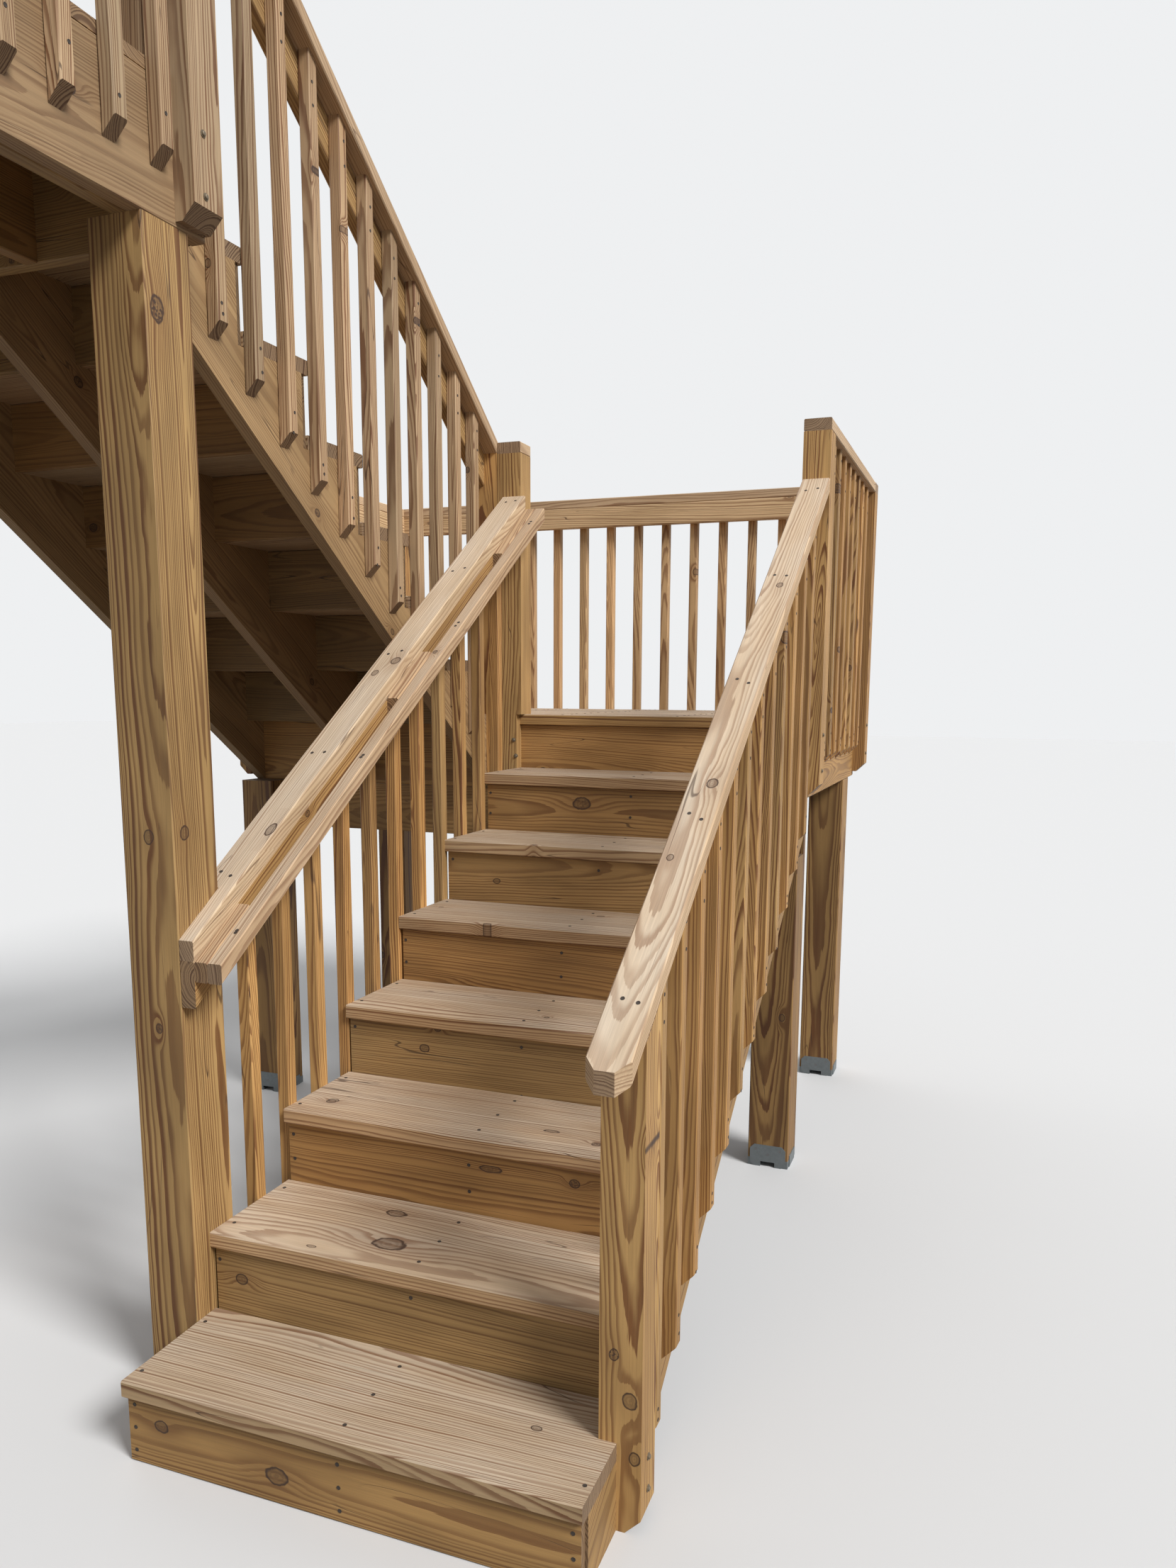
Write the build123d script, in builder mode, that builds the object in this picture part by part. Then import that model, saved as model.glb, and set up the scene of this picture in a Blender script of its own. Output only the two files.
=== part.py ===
"""Wooden deck stairs: a lower flight, a landing, and an upper flight that turns back to a deck.

Millimetres, +Z up. The origin is on the ground, under the middle of the stairs.
The lower flight climbs towards +Y on the right, the upper flight towards -Y on the left.
"""

import os
from math import sqrt

from build123d import *

# Lumber sizes
BOARD = 38.0
RAIL_DEPTH = 89.0
POST = 89.0
BIG_POST = 140.0
PICKET = 35.0
RISER_BOARD = 19.0
JOIST_DEPTH = 235.0
DECK_RIM_DEPTH = 270.0
DECK_BOARD = 25.0
HANGER_DEPTH = 184.0
EASED_EDGE = 3.0

# Clearances
SEAT_GAP = 0.3
BOARD_GAP = 5.0

# Both flights
FLIGHT_WIDTH = 1049.0
WELL = 122.0
FIRST_RISE = 190.0
RISER_INSET = 6.0

# Lower flight
LOWER_RISE = 195.0
LOWER_GOING = 298.5
LOWER_TREADS = 7
LOWER_NOSING = 12.0
LOWER_HEEL = 322.0

# Upper flight
UPPER_RISE = 190.0
UPPER_GOING = 260.0
UPPER_TREADS = 6
UPPER_NOSING = 14.0
UPPER_FOOT = 83.5

# Landing and deck
LANDING_DEPTH = 1200.0
LANDING_BOARDS = 8
LANDING_JOISTS = 4
DECK_DEPTH = 1533.0
DECK_BOARDS = 11
DECK_JOISTS = 2
DECK_POST_SETBACK = 53.0
END_POST_INSET = 60.0
BACK_POST_INSET = 140.0

# Guard along the lower flight
LOWER_RAIL_SLOPE = 0.674
LOWER_RAIL_DROP = 19.0
LOWER_FOOT_LAP = 66.0
LOWER_PICKET_START = 480.0
LOWER_PICKET_PITCH = 142.5
LOWER_PICKETS = 11
NEWEL_SETBACK = 188.0
CAP_OVERHANG = 108.0
CAP_CLIP = 25.0

# Guard along the upper flight
UPPER_RAIL_LIFT = 13.0
UPPER_FOOT_LAP = 143.0
UPPER_PICKET_START = 151.0
UPPER_PICKET_PITCH = 132.5
UPPER_PICKETS = 11
CAP_RUN_ON = 16.0
TOP_POST_CLEARANCE = 3.0

# Level guards
GUARD_HEIGHT = 949.0
LANDING_FOOT_LAP = 169.0
DECK_FOOT_LAP = 201.0
SIDE_PICKETS = 8
BACK_PICKETS = 16
BACK_PICKET_LEFT_GAP = 108.4
BACK_PICKET_RIGHT_GAP = 25.1
DECK_PICKETS = 10
DECK_PICKET_STAIR_GAP = 34.0
DECK_PICKET_END_GAP = 93.5
HEAD_LAP = 41.5
HEAD_POST_GAP = 1.0
LANDING_POST_LAP = 253.0
DECK_POST_LAP = 283.0
LAP_BEVEL = 33.0

# Handrail
HANDRAIL = 38.0
HANDRAIL_STANDOFF = 35.0
LOW_SPACER = 154.0
MIDDLE_SPACER = 200.0
MIDDLE_SPACER_START = 844.0
TOP_SPACER = 270.0

# Post bases
BASE_STANDOFF = 28.0
BASE_TAB = 50.0
BASE_TAB_WIDTH = 124.0
BASE_TAB_CLIP = 14.0
BASE_LIP = 12.0
BASE_LIP_WIDTH = 90.0
BASE_STEEL = 3.0
BASE_SLOT_WIDTH = 50.0
BASE_SLOT_HEIGHT = 18.0

# Walking surfaces and the frames under them
LANDING_TOP = FIRST_RISE + LOWER_TREADS * LOWER_RISE
LANDING_FRAME_TOP = LANDING_TOP - BOARD
LANDING_FRAME_FOOT = LANDING_FRAME_TOP - JOIST_DEPTH
DECK_TOP = LANDING_TOP + (UPPER_TREADS + 1) * UPPER_RISE
DECK_FRAME_TOP = DECK_TOP - DECK_BOARD
DECK_FRAME_FOOT = DECK_FRAME_TOP - DECK_RIM_DEPTH

# Pickets and post laps stand outside the face that they are fixed to
POST_OUT = POST - BOARD

# Faces across the stairs, from left to right
LANDING_WIDTH = 2 * FLIGHT_WIDTH + WELL
DECK_SIDE = WELL - SEAT_GAP
LANDING_RIGHT = (LANDING_WIDTH + DECK_SIDE) / 2
LANDING_LEFT = LANDING_RIGHT - LANDING_WIDTH
LOWER_LEFT = LANDING_RIGHT - FLIGHT_WIDTH
UPPER_RIGHT = LANDING_LEFT + FLIGHT_WIDTH
DECK_LEFT = LANDING_LEFT - DECK_SIDE
DECK_RIGHT = UPPER_RIGHT + DECK_SIDE

# Runs from the bottom nosing, and the same faces counted from the middle of the length
FRONT_RUN = LOWER_TREADS * LOWER_GOING + LOWER_NOSING
UPPER_TOP_RUN = FRONT_RUN - UPPER_FOOT + UPPER_NOSING - UPPER_TREADS * UPPER_GOING
BACK_RUN = FRONT_RUN + LANDING_DEPTH
BOTTOM = -(UPPER_TOP_RUN - DECK_DEPTH + BACK_RUN + POST_OUT) / 2
LANDING_FRONT = BOTTOM + FRONT_RUN
LANDING_BACK = BOTTOM + BACK_RUN
UPPER_TOP = BOTTOM + UPPER_TOP_RUN
DECK_END = UPPER_TOP - DECK_DEPTH
HEADER_FACE = UPPER_TOP - UPPER_NOSING - RISER_BOARD
LAST_RISER_FACE = LANDING_FRONT - UPPER_FOOT
LANDING_NOSING = LANDING_FRONT - LOWER_NOSING

# Posts along the stairs
HEAD_POST = LANDING_FRONT - HEAD_LAP
REAR_POST = LANDING_BACK - BOARD
TOP_POST_BACK = HEADER_FACE - TOP_POST_CLEARANCE
TOP_POST = TOP_POST_BACK - POST
NEWEL = BOTTOM + NEWEL_SETBACK
DECK_POST_BACK = HEADER_FACE - DECK_POST_SETBACK
DECK_POST = DECK_POST_BACK - BIG_POST
END_POST = DECK_END + END_POST_INSET
LANDING_POST = LANDING_FRONT + BOARD - BIG_POST
LANDING_REAR_POST = LANDING_BACK - BACK_POST_INSET - BIG_POST

# Vertical thickness of a sloping cap
LOWER_CAP = BOARD * sqrt(1 + LOWER_RAIL_SLOPE**2)
LOWER_SUBRAIL = RAIL_DEPTH * sqrt(1 + LOWER_RAIL_SLOPE**2)
UPPER_SLOPE = UPPER_RISE / UPPER_GOING
UPPER_CAP = BOARD * sqrt(1 + UPPER_SLOPE**2)
UPPER_SUBRAIL = RAIL_DEPTH * sqrt(1 + UPPER_SLOPE**2)
LANDING_CAP_TOP = LANDING_TOP + GUARD_HEIGHT
DECK_CAP_TOP = DECK_TOP + GUARD_HEIGHT


def lower_rail(y):
    """Height of the top of the lower flight's sloping caps."""
    return GUARD_HEIGHT - LOWER_RAIL_DROP + LOWER_RAIL_SLOPE * (y - BOTTOM)


def upper_rail(y):
    """Height of the top of the upper flight's sloping caps."""
    return LANDING_CAP_TOP + UPPER_RAIL_LIFT + UPPER_SLOPE * (HEAD_POST - y)


def under_lower_cap(y):
    """Height of the underside of the lower flight's caps."""
    return lower_rail(y) - LOWER_CAP


def under_upper_cap(y):
    """Height of the underside of the upper flight's caps."""
    return upper_rail(y) - UPPER_CAP


def across(face, side, inner, outer):
    """Two X planes, given inward and outward of a face whose outside is +1 right or -1 left."""
    return sorted((face - side * inner, face + side * outer))


def spread(count, start, end, width):
    """Near edges of a count of equal boards with equal gaps between two faces."""
    gap = (end - start - count * width) / (count + 1)
    return [start + gap + index * (width + gap) for index in range(count)]


def spread_between(count, start, end, width):
    """Near edges of a count of equal boards, the first at the start and the last up to the end."""
    pitch = (end - start - width) / (count - 1)
    return [start + index * pitch for index in range(count)]


def board(x, y, z):
    """A straight board between pairs of planes, its long edges eased."""
    size = Vector(x[1] - x[0], y[1] - y[0], z[1] - z[0])
    lengths = {size.X: Axis.X, size.Y: Axis.Y, size.Z: Axis.Z}
    with BuildPart() as piece:
        with Locations(((x[0] + x[1]) / 2, (y[0] + y[1]) / 2, (z[0] + z[1]) / 2)):
            Box(size.X, size.Y, size.Z)
        chamfer(piece.edges().filter_by(lengths[max(lengths)]), EASED_EDGE)
    return piece.part


def side_board(outline, x):
    """A board sawn to an outline seen from the side, between two planes across the stairs."""
    with BuildPart() as piece:
        with BuildSketch(Plane.YZ.offset(x[0])):
            with BuildLine():
                Polyline(*outline, close=True)
            make_face()
        extrude(amount=x[1] - x[0])
    return piece.part


def front_board(outline, y):
    """A board sawn to an outline seen from the front, between two planes along the stairs."""
    with BuildPart() as piece:
        with BuildSketch(Plane.XZ.offset(-y[0])):
            with BuildLine():
                Polyline(*outline, close=True)
            make_face()
        extrude(amount=y[0] - y[1])
    return piece.part


def sloping_board(x, y, height, depth):
    """A rail between two plumb cuts, with its top along a height formula and its long edges eased."""
    tops = [(y[0], height(y[0])), (y[1], height(y[1]))]
    feet = [(y[1], height(y[1]) - depth), (y[0], height(y[0]) - depth)]
    slope = Axis((0, 0, 0), (0, y[1] - y[0], height(y[1]) - height(y[0])))
    with BuildPart() as piece:
        add(side_board(tops + feet, x))
        chamfer(piece.edges().filter_by(slope), EASED_EDGE)
    return piece.part


def cut_off_above(solid, height, y):
    """A solid sawn off along a sloping line seen from the side."""
    above = max(height(y[0]), height(y[1])) + POST
    outline = [(y[0], height(y[0])), (y[1], height(y[1])), (y[1], above), (y[0], above)]
    with BuildPart() as piece:
        add(solid)
        box = solid.bounding_box()
        with BuildSketch(Plane.YZ.offset(box.min.X)):
            with BuildLine():
                Polyline(*outline, close=True)
            make_face()
        extrude(amount=box.size.X, mode=Mode.SUBTRACT)
    return piece.part


def save(name, *pieces):
    """Write one node; its solids don't touch each other."""
    with BuildPart() as node:
        add(pieces)
    node.part.label = name
    export_step(node.part, f"parts/{name}.step")


def picket(length, slope, side):
    """A square picket with a mitred foot, long on the inside, and a head cut to the cap's slope."""
    with BuildPart() as piece:
        with BuildSketch():
            with Locations((PICKET / 2, PICKET / 2)):
                Rectangle(PICKET, PICKET)
            chamfer(vertices(), EASED_EDGE)
        extrude(amount=length + PICKET)
        with BuildSketch(Plane.XZ):
            with BuildLine():
                Polyline((0, 0), (PICKET, 0), (PICKET, PICKET), close=True)
            make_face()
        extrude(amount=-PICKET, mode=Mode.SUBTRACT)
        with BuildSketch(Plane.YZ):
            head = [(0, length), (PICKET, length + slope * PICKET)]
            above = [(PICKET, length + 2 * PICKET), (0, length + 2 * PICKET)]
            with BuildLine():
                Polyline(*head, *above, close=True)
            make_face()
        extrude(amount=PICKET, mode=Mode.SUBTRACT)
    if side < 0:
        return mirror(piece.part, about=Plane.YZ)
    return piece.part


def sloping_pickets(face, side, fronts, height, slope, length):
    """Pickets of one length on a sloping guard, each hung from the underside of the cap."""
    stick = picket(length, slope, side)
    return [stick.moved(Location((face, front, height(front) - length))) for front in fronts]


def level_pickets(face, side, fronts, foot, length):
    """Pickets on a level guard that runs along the stairs."""
    stick = picket(length, 0, side)
    return [stick.moved(Location((face, front, foot))) for front in fronts]


def cut_stringers(outline, faces):
    """Stringers of one outline, one behind each left face."""
    return [side_board(outline, (face, face + BOARD)) for face in faces]


def stringer_faces(left):
    """Left faces of three stringers under a flight, one at each side and one in the middle."""
    return [left, left + (FLIGHT_WIDTH - BOARD) / 2, left + FLIGHT_WIDTH - BOARD]


def lapped_post(face, side, y, floor, lap, top):
    """A guard post that stands on the floor inside a face and laps the outside of it."""
    inner, outer = face - side * BOARD, face + side * POST_OUT
    foot = floor - lap
    outline = [
        (inner, floor),
        (inner, top),
        (outer, top),
        (outer, foot + LAP_BEVEL),
        (outer - side * LAP_BEVEL, foot),
        (face, foot),
        (face, floor),
    ]
    return front_board(outline, y)


def rear_corner_post(face, side):
    """A landing corner post whose foot laps two rims in an L."""
    x = across(face, side, BOARD, POST_OUT)
    y = (REAR_POST, REAR_POST + POST)
    foot = LANDING_TOP - LANDING_POST_LAP
    with BuildPart() as piece:
        with BuildSketch(Plane.XY.offset(foot)):
            with Locations((sum(x) / 2, sum(y) / 2)):
                Rectangle(POST, POST)
        extrude(amount=LANDING_CAP_TOP - BOARD - foot)
        with BuildSketch(Plane.XY.offset(foot)):
            with Locations((face - side * BOARD / 2, LANDING_BACK - BOARD / 2)):
                Rectangle(BOARD, BOARD)
        extrude(amount=LANDING_POST_LAP, mode=Mode.SUBTRACT)
        low = piece.edges().group_by(Axis.Z)[0]
        outside = low.filter_by(Axis.Y).sort_by(Axis.X)[-1 if side > 0 else 0]
        chamfer([outside, low.filter_by(Axis.X).sort_by(Axis.Y)[-1]], LAP_BEVEL)
    return piece.part


def head_post(left, foot_x, top_outline):
    """A post at the front of the landing, its foot let down in front of the rim between two faces."""
    y = (HEAD_POST, HEAD_POST + POST)
    foot = LANDING_TOP - LANDING_POST_LAP
    lap = [(HEAD_POST, LANDING_TOP), (HEAD_POST, foot + LAP_BEVEL), (HEAD_POST + LAP_BEVEL, foot)]
    lap += [(LANDING_FRONT, foot), (LANDING_FRONT, LANDING_TOP)]
    with BuildPart() as piece:
        add(side_board([(y[0], LANDING_TOP)] + top_outline + [(y[1], LANDING_TOP)], (left, left + POST)))
        add(side_board(lap, foot_x))
    return piece.part


def big_post(x, y, top):
    """A square support post on its base."""
    return board((x, x + BIG_POST), (y, y + BIG_POST), (BASE_STANDOFF, top))


def post_base(x, y, lip_sides):
    """A raised metal base: a slotted pad, a tab up the front and back of the post, and low lips."""
    reach = BIG_POST / 2
    with BuildPart() as piece:
        with Locations((0, 0, BASE_STANDOFF / 2)):
            Box(BIG_POST, BIG_POST, BASE_STANDOFF)
        with BuildSketch(Plane.XZ.offset(reach)):
            with Locations((0, (BASE_STANDOFF + BASE_TAB) / 2)):
                tab = Rectangle(BASE_TAB_WIDTH, BASE_STANDOFF + BASE_TAB)
            chamfer(tab.vertices().group_by(Axis.Z)[-1], BASE_TAB_CLIP)
        extrude(amount=BASE_STEEL)
        mirror(about=Plane.XZ)
        for side in lip_sides:
            with Locations((side * (reach + BASE_STEEL / 2), 0, (BASE_STANDOFF + BASE_LIP) / 2)):
                Box(BASE_STEEL, BASE_LIP_WIDTH, BASE_STANDOFF + BASE_LIP)
        with Locations((0, 0, BASE_SLOT_HEIGHT / 2)):
            Box(BASE_SLOT_WIDTH, 2 * BIG_POST, BASE_SLOT_HEIGHT, mode=Mode.SUBTRACT)
    return piece.part.moved(Location((x + reach, y + reach, 0)))


os.makedirs("parts", exist_ok=True)

# Lower flight: treads, risers and three cut stringers
lower_fronts = [BOTTOM + index * LOWER_GOING for index in range(LOWER_TREADS)]
lower_tops = [FIRST_RISE + index * LOWER_RISE for index in range(LOWER_TREADS)]
lower_backs = [front + LOWER_GOING + LOWER_NOSING for front in lower_fronts]
for index in range(LOWER_TREADS):
    top = lower_tops[index]
    tread = board((LOWER_LEFT, LANDING_RIGHT), (lower_fronts[index], lower_backs[index]), (top - BOARD, top))
    save(f"lower_tread_{index + 1}", tread)

riser_x = (LOWER_LEFT + RISER_INSET, LANDING_RIGHT - RISER_INSET)
risers = []
for index in range(LOWER_TREADS):
    face = lower_fronts[index] + LOWER_NOSING
    foot = lower_tops[index - 1] - BOARD if index else 0
    risers.append(board(riser_x, (face, face + RISER_BOARD), (foot, lower_tops[index] - BOARD)))
save("lower_risers", *risers)

lower_pitch = LOWER_RISE / LOWER_GOING
lower_heel = BOTTOM + LOWER_HEEL
outline = [(lower_fronts[0] + LOWER_NOSING + RISER_BOARD, 0)]
for index in range(LOWER_TREADS):
    seat = lower_tops[index] - BOARD
    outline.append((lower_fronts[index] + LOWER_NOSING + RISER_BOARD, seat))
    outline.append((min(lower_backs[index] + RISER_BOARD, LANDING_FRONT), seat))
outline.append((LANDING_FRONT, lower_pitch * (LANDING_FRONT - lower_heel)))
outline.append((lower_heel, 0))
save("lower_stringers", *cut_stringers(outline, stringer_faces(LOWER_LEFT)))

# Upper flight, counted down from the deck
upper_fronts = [UPPER_TOP + index * UPPER_GOING for index in range(UPPER_TREADS + 1)]
upper_tops = [DECK_TOP - index * UPPER_RISE for index in range(UPPER_TREADS + 1)]
for index in range(1, UPPER_TREADS + 1):
    y = (upper_fronts[index - 1] - UPPER_NOSING, upper_fronts[index])
    tread = board((LANDING_LEFT, UPPER_RIGHT), y, (upper_tops[index] - BOARD, upper_tops[index]))
    save(f"upper_tread_{UPPER_TREADS + 1 - index}", tread)

riser_x = (LANDING_LEFT + RISER_INSET, UPPER_RIGHT - RISER_INSET)
risers = []
for index in range(UPPER_TREADS + 1):
    face = upper_fronts[index] - UPPER_NOSING
    head = upper_tops[index] - BOARD if index else DECK_FRAME_TOP
    foot = upper_tops[index] - UPPER_RISE - BOARD
    risers.append(board(riser_x, (face - RISER_BOARD, face), (foot, head)))
save("upper_risers", *risers)

outline = [(HEADER_FACE, upper_tops[1] - BOARD)]
for index in range(1, UPPER_TREADS + 1):
    back = upper_fronts[index] - UPPER_NOSING - RISER_BOARD
    outline.append((back, upper_tops[index] - BOARD))
    outline.append((back, upper_tops[index] - UPPER_RISE - BOARD))
outline.append((LANDING_FRONT, LANDING_FRAME_TOP))
outline.append((LANDING_FRONT, LANDING_FRAME_FOOT))
outline.append((HEADER_FACE, LANDING_FRAME_FOOT + UPPER_SLOPE * (LANDING_FRONT - HEADER_FACE)))
save("upper_stringers", *cut_stringers(outline, stringer_faces(LANDING_LEFT)))

# Landing frame and decking
frame_z = (LANDING_FRAME_FOOT, LANDING_FRAME_TOP)
side_y = (LANDING_FRONT, LANDING_BACK)
inside_x = (LANDING_LEFT + BOARD, LANDING_RIGHT - BOARD)
inside_y = (LANDING_FRONT + BOARD, LANDING_BACK - BOARD)
front_y = (LANDING_FRONT, LANDING_FRONT + BOARD)
save(
    "landing_side_rims",
    board((LANDING_LEFT, inside_x[0]), side_y, frame_z),
    board((inside_x[1], LANDING_RIGHT), side_y, frame_z),
)
save(
    "landing_cross_rims",
    board(inside_x, front_y, frame_z),
    board(inside_x, (inside_y[1], LANDING_BACK), frame_z),
)
joists = [board((x, x + BOARD), inside_y, frame_z) for x in spread(LANDING_JOISTS, *inside_x, BOARD)]
save("landing_joists", *joists)
hanger_x = (LANDING_LEFT + BIG_POST, LANDING_RIGHT - BIG_POST)
save("stringer_hanger_board", board(hanger_x, front_y, (frame_z[0] - HANGER_DEPTH, frame_z[0])))

decking_depth = LANDING_BACK - LANDING_NOSING
board_width = (decking_depth - (LANDING_BOARDS - 1) * BOARD_GAP) / LANDING_BOARDS
decking_x = (LANDING_LEFT, LANDING_RIGHT)
decking_z = (LANDING_FRAME_TOP, LANDING_TOP)
fronts = [LANDING_NOSING + index * (board_width + BOARD_GAP) for index in range(LANDING_BOARDS)]
decking = [board(decking_x, (front, front + board_width), decking_z) for front in fronts]
with BuildPart() as first_board:
    add(decking[0])
    with Locations(((UPPER_RIGHT + LOWER_LEFT) / 2, LANDING_NOSING, LANDING_FRAME_TOP)):
        Box(WELL, 2 * LOWER_NOSING, 2 * BOARD, mode=Mode.SUBTRACT)
decking[0] = first_board.part
filler_y = (LAST_RISER_FACE, LANDING_NOSING - BOARD_GAP)
decking.append(board((LANDING_LEFT, UPPER_RIGHT), filler_y, decking_z))
save("landing_decking", *decking)

# Deck frame and decking
frame_z = (DECK_FRAME_FOOT, DECK_FRAME_TOP)
side_y = (DECK_END, HEADER_FACE)
inside_x = (DECK_LEFT + BOARD, DECK_RIGHT - BOARD)
inside_y = (DECK_END + BOARD, HEADER_FACE - BOARD)
save(
    "deck_side_rims",
    board((DECK_LEFT, inside_x[0]), side_y, frame_z),
    board((inside_x[1], DECK_RIGHT), side_y, frame_z),
)
save(
    "deck_cross_rims",
    board(inside_x, (DECK_END, inside_y[0]), frame_z),
    board(inside_x, (inside_y[1], HEADER_FACE), frame_z),
)
plies = [inside_x[0], inside_x[1] - BOARD]
joist_x = plies + spread(DECK_JOISTS, plies[0] + BOARD, plies[1], BOARD)
save("deck_joists", *[board((x, x + BOARD), inside_y, frame_z) for x in joist_x])

board_width = (DECK_DEPTH - (DECK_BOARDS - 1) * BOARD_GAP) / DECK_BOARDS
fronts = [DECK_END + index * (board_width + BOARD_GAP) for index in range(DECK_BOARDS)]
decking_z = (DECK_FRAME_TOP, DECK_TOP)
decking_x = (DECK_LEFT, DECK_RIGHT)
save("deck_decking", *[board(decking_x, (front, front + board_width), decking_z) for front in fronts])

# Support posts and their metal bases
notch_floor = lower_pitch * (LANDING_POST - lower_heel)
with BuildPart() as notched_post:
    add(big_post(LANDING_RIGHT - BIG_POST, LANDING_POST, LANDING_FRAME_FOOT))
    notch_x = (LANDING_RIGHT - BOARD - SEAT_GAP, LANDING_RIGHT)
    notch_y = (LANDING_POST, LANDING_FRONT + SEAT_GAP)
    notch_z = (notch_floor, LANDING_FRAME_FOOT)
    with Locations((sum(notch_x) / 2, sum(notch_y) / 2, sum(notch_z) / 2)):
        Box(notch_x[1] - notch_x[0], notch_y[1] - notch_y[0], notch_z[1] - notch_z[0], mode=Mode.SUBTRACT)
landing_places = [(LANDING_RIGHT - BIG_POST, LANDING_REAR_POST)]
landing_places += [(LANDING_LEFT, LANDING_POST), (LANDING_LEFT, LANDING_REAR_POST)]
deck_places = [(x, y) for x in (DECK_LEFT, DECK_RIGHT - BIG_POST) for y in (END_POST, DECK_POST)]
posts = [big_post(x, y, LANDING_FRAME_FOOT) for x, y in landing_places]
save("landing_support_posts", notched_post.part, *posts)
save("deck_support_posts", *[big_post(x, y, DECK_FRAME_FOOT) for x, y in deck_places])
landing_places.append((LANDING_RIGHT - BIG_POST, LANDING_POST))
bases = [post_base(x, y, (-1, 1)) for x, y in landing_places]
bases += [post_base(x, y, (-1, 1) if x == DECK_LEFT else (-1,)) for x, y in deck_places]
save("post_bases", *bases)

# Guard along the lower flight
newel_y = (NEWEL, NEWEL + POST)
newel_inner, newel_outer = LANDING_RIGHT - BOARD, LANDING_RIGHT + POST_OUT
newel_top = lower_rail(newel_y[1])
newel_outline = [(newel_inner, FIRST_RISE), (newel_inner, newel_top), (newel_outer, newel_top)]
newel_outline += [(newel_outer, LAP_BEVEL), (newel_outer - LAP_BEVEL, 0)]
newel_outline += [(LANDING_RIGHT, 0), (LANDING_RIGHT, FIRST_RISE)]
newel = cut_off_above(front_board(newel_outline, newel_y), under_lower_cap, newel_y)
save("newel_post", newel)

cap_y = (NEWEL - CAP_OVERHANG, HEAD_POST)
with BuildPart() as right_cap:
    add(sloping_board(across(LANDING_RIGHT, 1, BOARD, POST_OUT), cap_y, lower_rail, LOWER_CAP))
    low_end = right_cap.faces().sort_by(Axis.Y)[0]
    chamfer(low_end.edges().filter_by(Axis.Z), CAP_CLIP)
with BuildPart() as left_cap:
    left_cap_x = across(LOWER_LEFT, -1, BOARD, POST_OUT)
    add(sloping_board(left_cap_x, (DECK_POST, HEAD_POST), lower_rail, LOWER_CAP))
    with Locations((LOWER_LEFT, DECK_POST, lower_rail(DECK_POST))):
        notch = (2 * POST_OUT, 2 * (BIG_POST + SEAT_GAP), 8 * BOARD)
        Box(*notch, align=(Align.MAX, Align.CENTER, Align.CENTER), mode=Mode.SUBTRACT)
save("lower_rail_caps", right_cap.part, left_cap.part)

right_rail_x = (newel_inner, LANDING_RIGHT)
left_rail_x = (LOWER_LEFT, LOWER_LEFT + BOARD)
save(
    "lower_subrails",
    sloping_board(right_rail_x, (newel_y[1], HEAD_POST), under_lower_cap, LOWER_SUBRAIL),
    sloping_board(left_rail_x, (DECK_POST, HEAD_POST), under_lower_cap, LOWER_SUBRAIL),
)

left_fronts = [BOTTOM + LOWER_PICKET_START + index * LOWER_PICKET_PITCH for index in range(LOWER_PICKETS)]
right_fronts = [left_fronts[0] - LOWER_PICKET_PITCH] + left_fronts
lower_sticks = (under_lower_cap, LOWER_RAIL_SLOPE, GUARD_HEIGHT + LOWER_FOOT_LAP)
save("lower_right_pickets", *sloping_pickets(LANDING_RIGHT, 1, right_fronts, *lower_sticks))
save("lower_left_pickets", *sloping_pickets(LOWER_LEFT, -1, left_fronts, *lower_sticks))

handrail_left = LOWER_LEFT + BOARD + HANDRAIL_STANDOFF
handrail_x = (handrail_left, handrail_left + HANDRAIL)
save("handrail", sloping_board(handrail_x, (DECK_POST, HEAD_POST), under_lower_cap, LOWER_CAP))
spacer_x = (LOWER_LEFT + BOARD, handrail_left)
middle_spacer = DECK_POST + MIDDLE_SPACER_START
spacer_runs = [(DECK_POST, DECK_POST + LOW_SPACER), (middle_spacer, middle_spacer + MIDDLE_SPACER)]
spacer_runs.append((HEAD_POST - TOP_SPACER, HEAD_POST))
save("handrail_spacers", *[sloping_board(spacer_x, run, under_lower_cap, LOWER_CAP) for run in spacer_runs])

# Posts at the head of the lower flight and the foot of the upper one
post_end = HEAD_POST + POST
cap_foot = LANDING_CAP_TOP - BOARD
cap_end = HEAD_POST + CAP_RUN_ON
flight_post_left = UPPER_RIGHT - BOARD
head_post_left = flight_post_left + POST + HEAD_POST_GAP
flight_top = [(HEAD_POST, under_upper_cap(HEAD_POST)), (cap_end, under_upper_cap(cap_end))]
flight_top.append((post_end, under_upper_cap(cap_end)))
level_top = [(HEAD_POST, cap_foot), (post_end, cap_foot)]
save(
    "landing_head_posts",
    head_post(head_post_left, (head_post_left, LOWER_LEFT - SEAT_GAP), level_top),
    head_post(flight_post_left, (UPPER_RIGHT + SEAT_GAP, flight_post_left + POST), flight_top),
)

# Guard along the upper flight
flight_y = (TOP_POST_BACK, HEAD_POST)
right_cap_x = across(UPPER_RIGHT, 1, BOARD, POST_OUT)
left_cap_x = across(LANDING_LEFT, -1, BOARD, POST_OUT)
save(
    "upper_rail_caps",
    sloping_board(right_cap_x, (TOP_POST_BACK, cap_end), upper_rail, UPPER_CAP),
    sloping_board(left_cap_x, flight_y, upper_rail, UPPER_CAP),
)
save(
    "upper_subrails",
    sloping_board((UPPER_RIGHT - BOARD, UPPER_RIGHT), flight_y, under_upper_cap, UPPER_SUBRAIL),
    sloping_board((LANDING_LEFT, LANDING_LEFT + BOARD), flight_y, under_upper_cap, UPPER_SUBRAIL),
)
first = TOP_POST_BACK + UPPER_PICKET_START
fronts = [first + index * UPPER_PICKET_PITCH for index in range(UPPER_PICKETS)]
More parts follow.
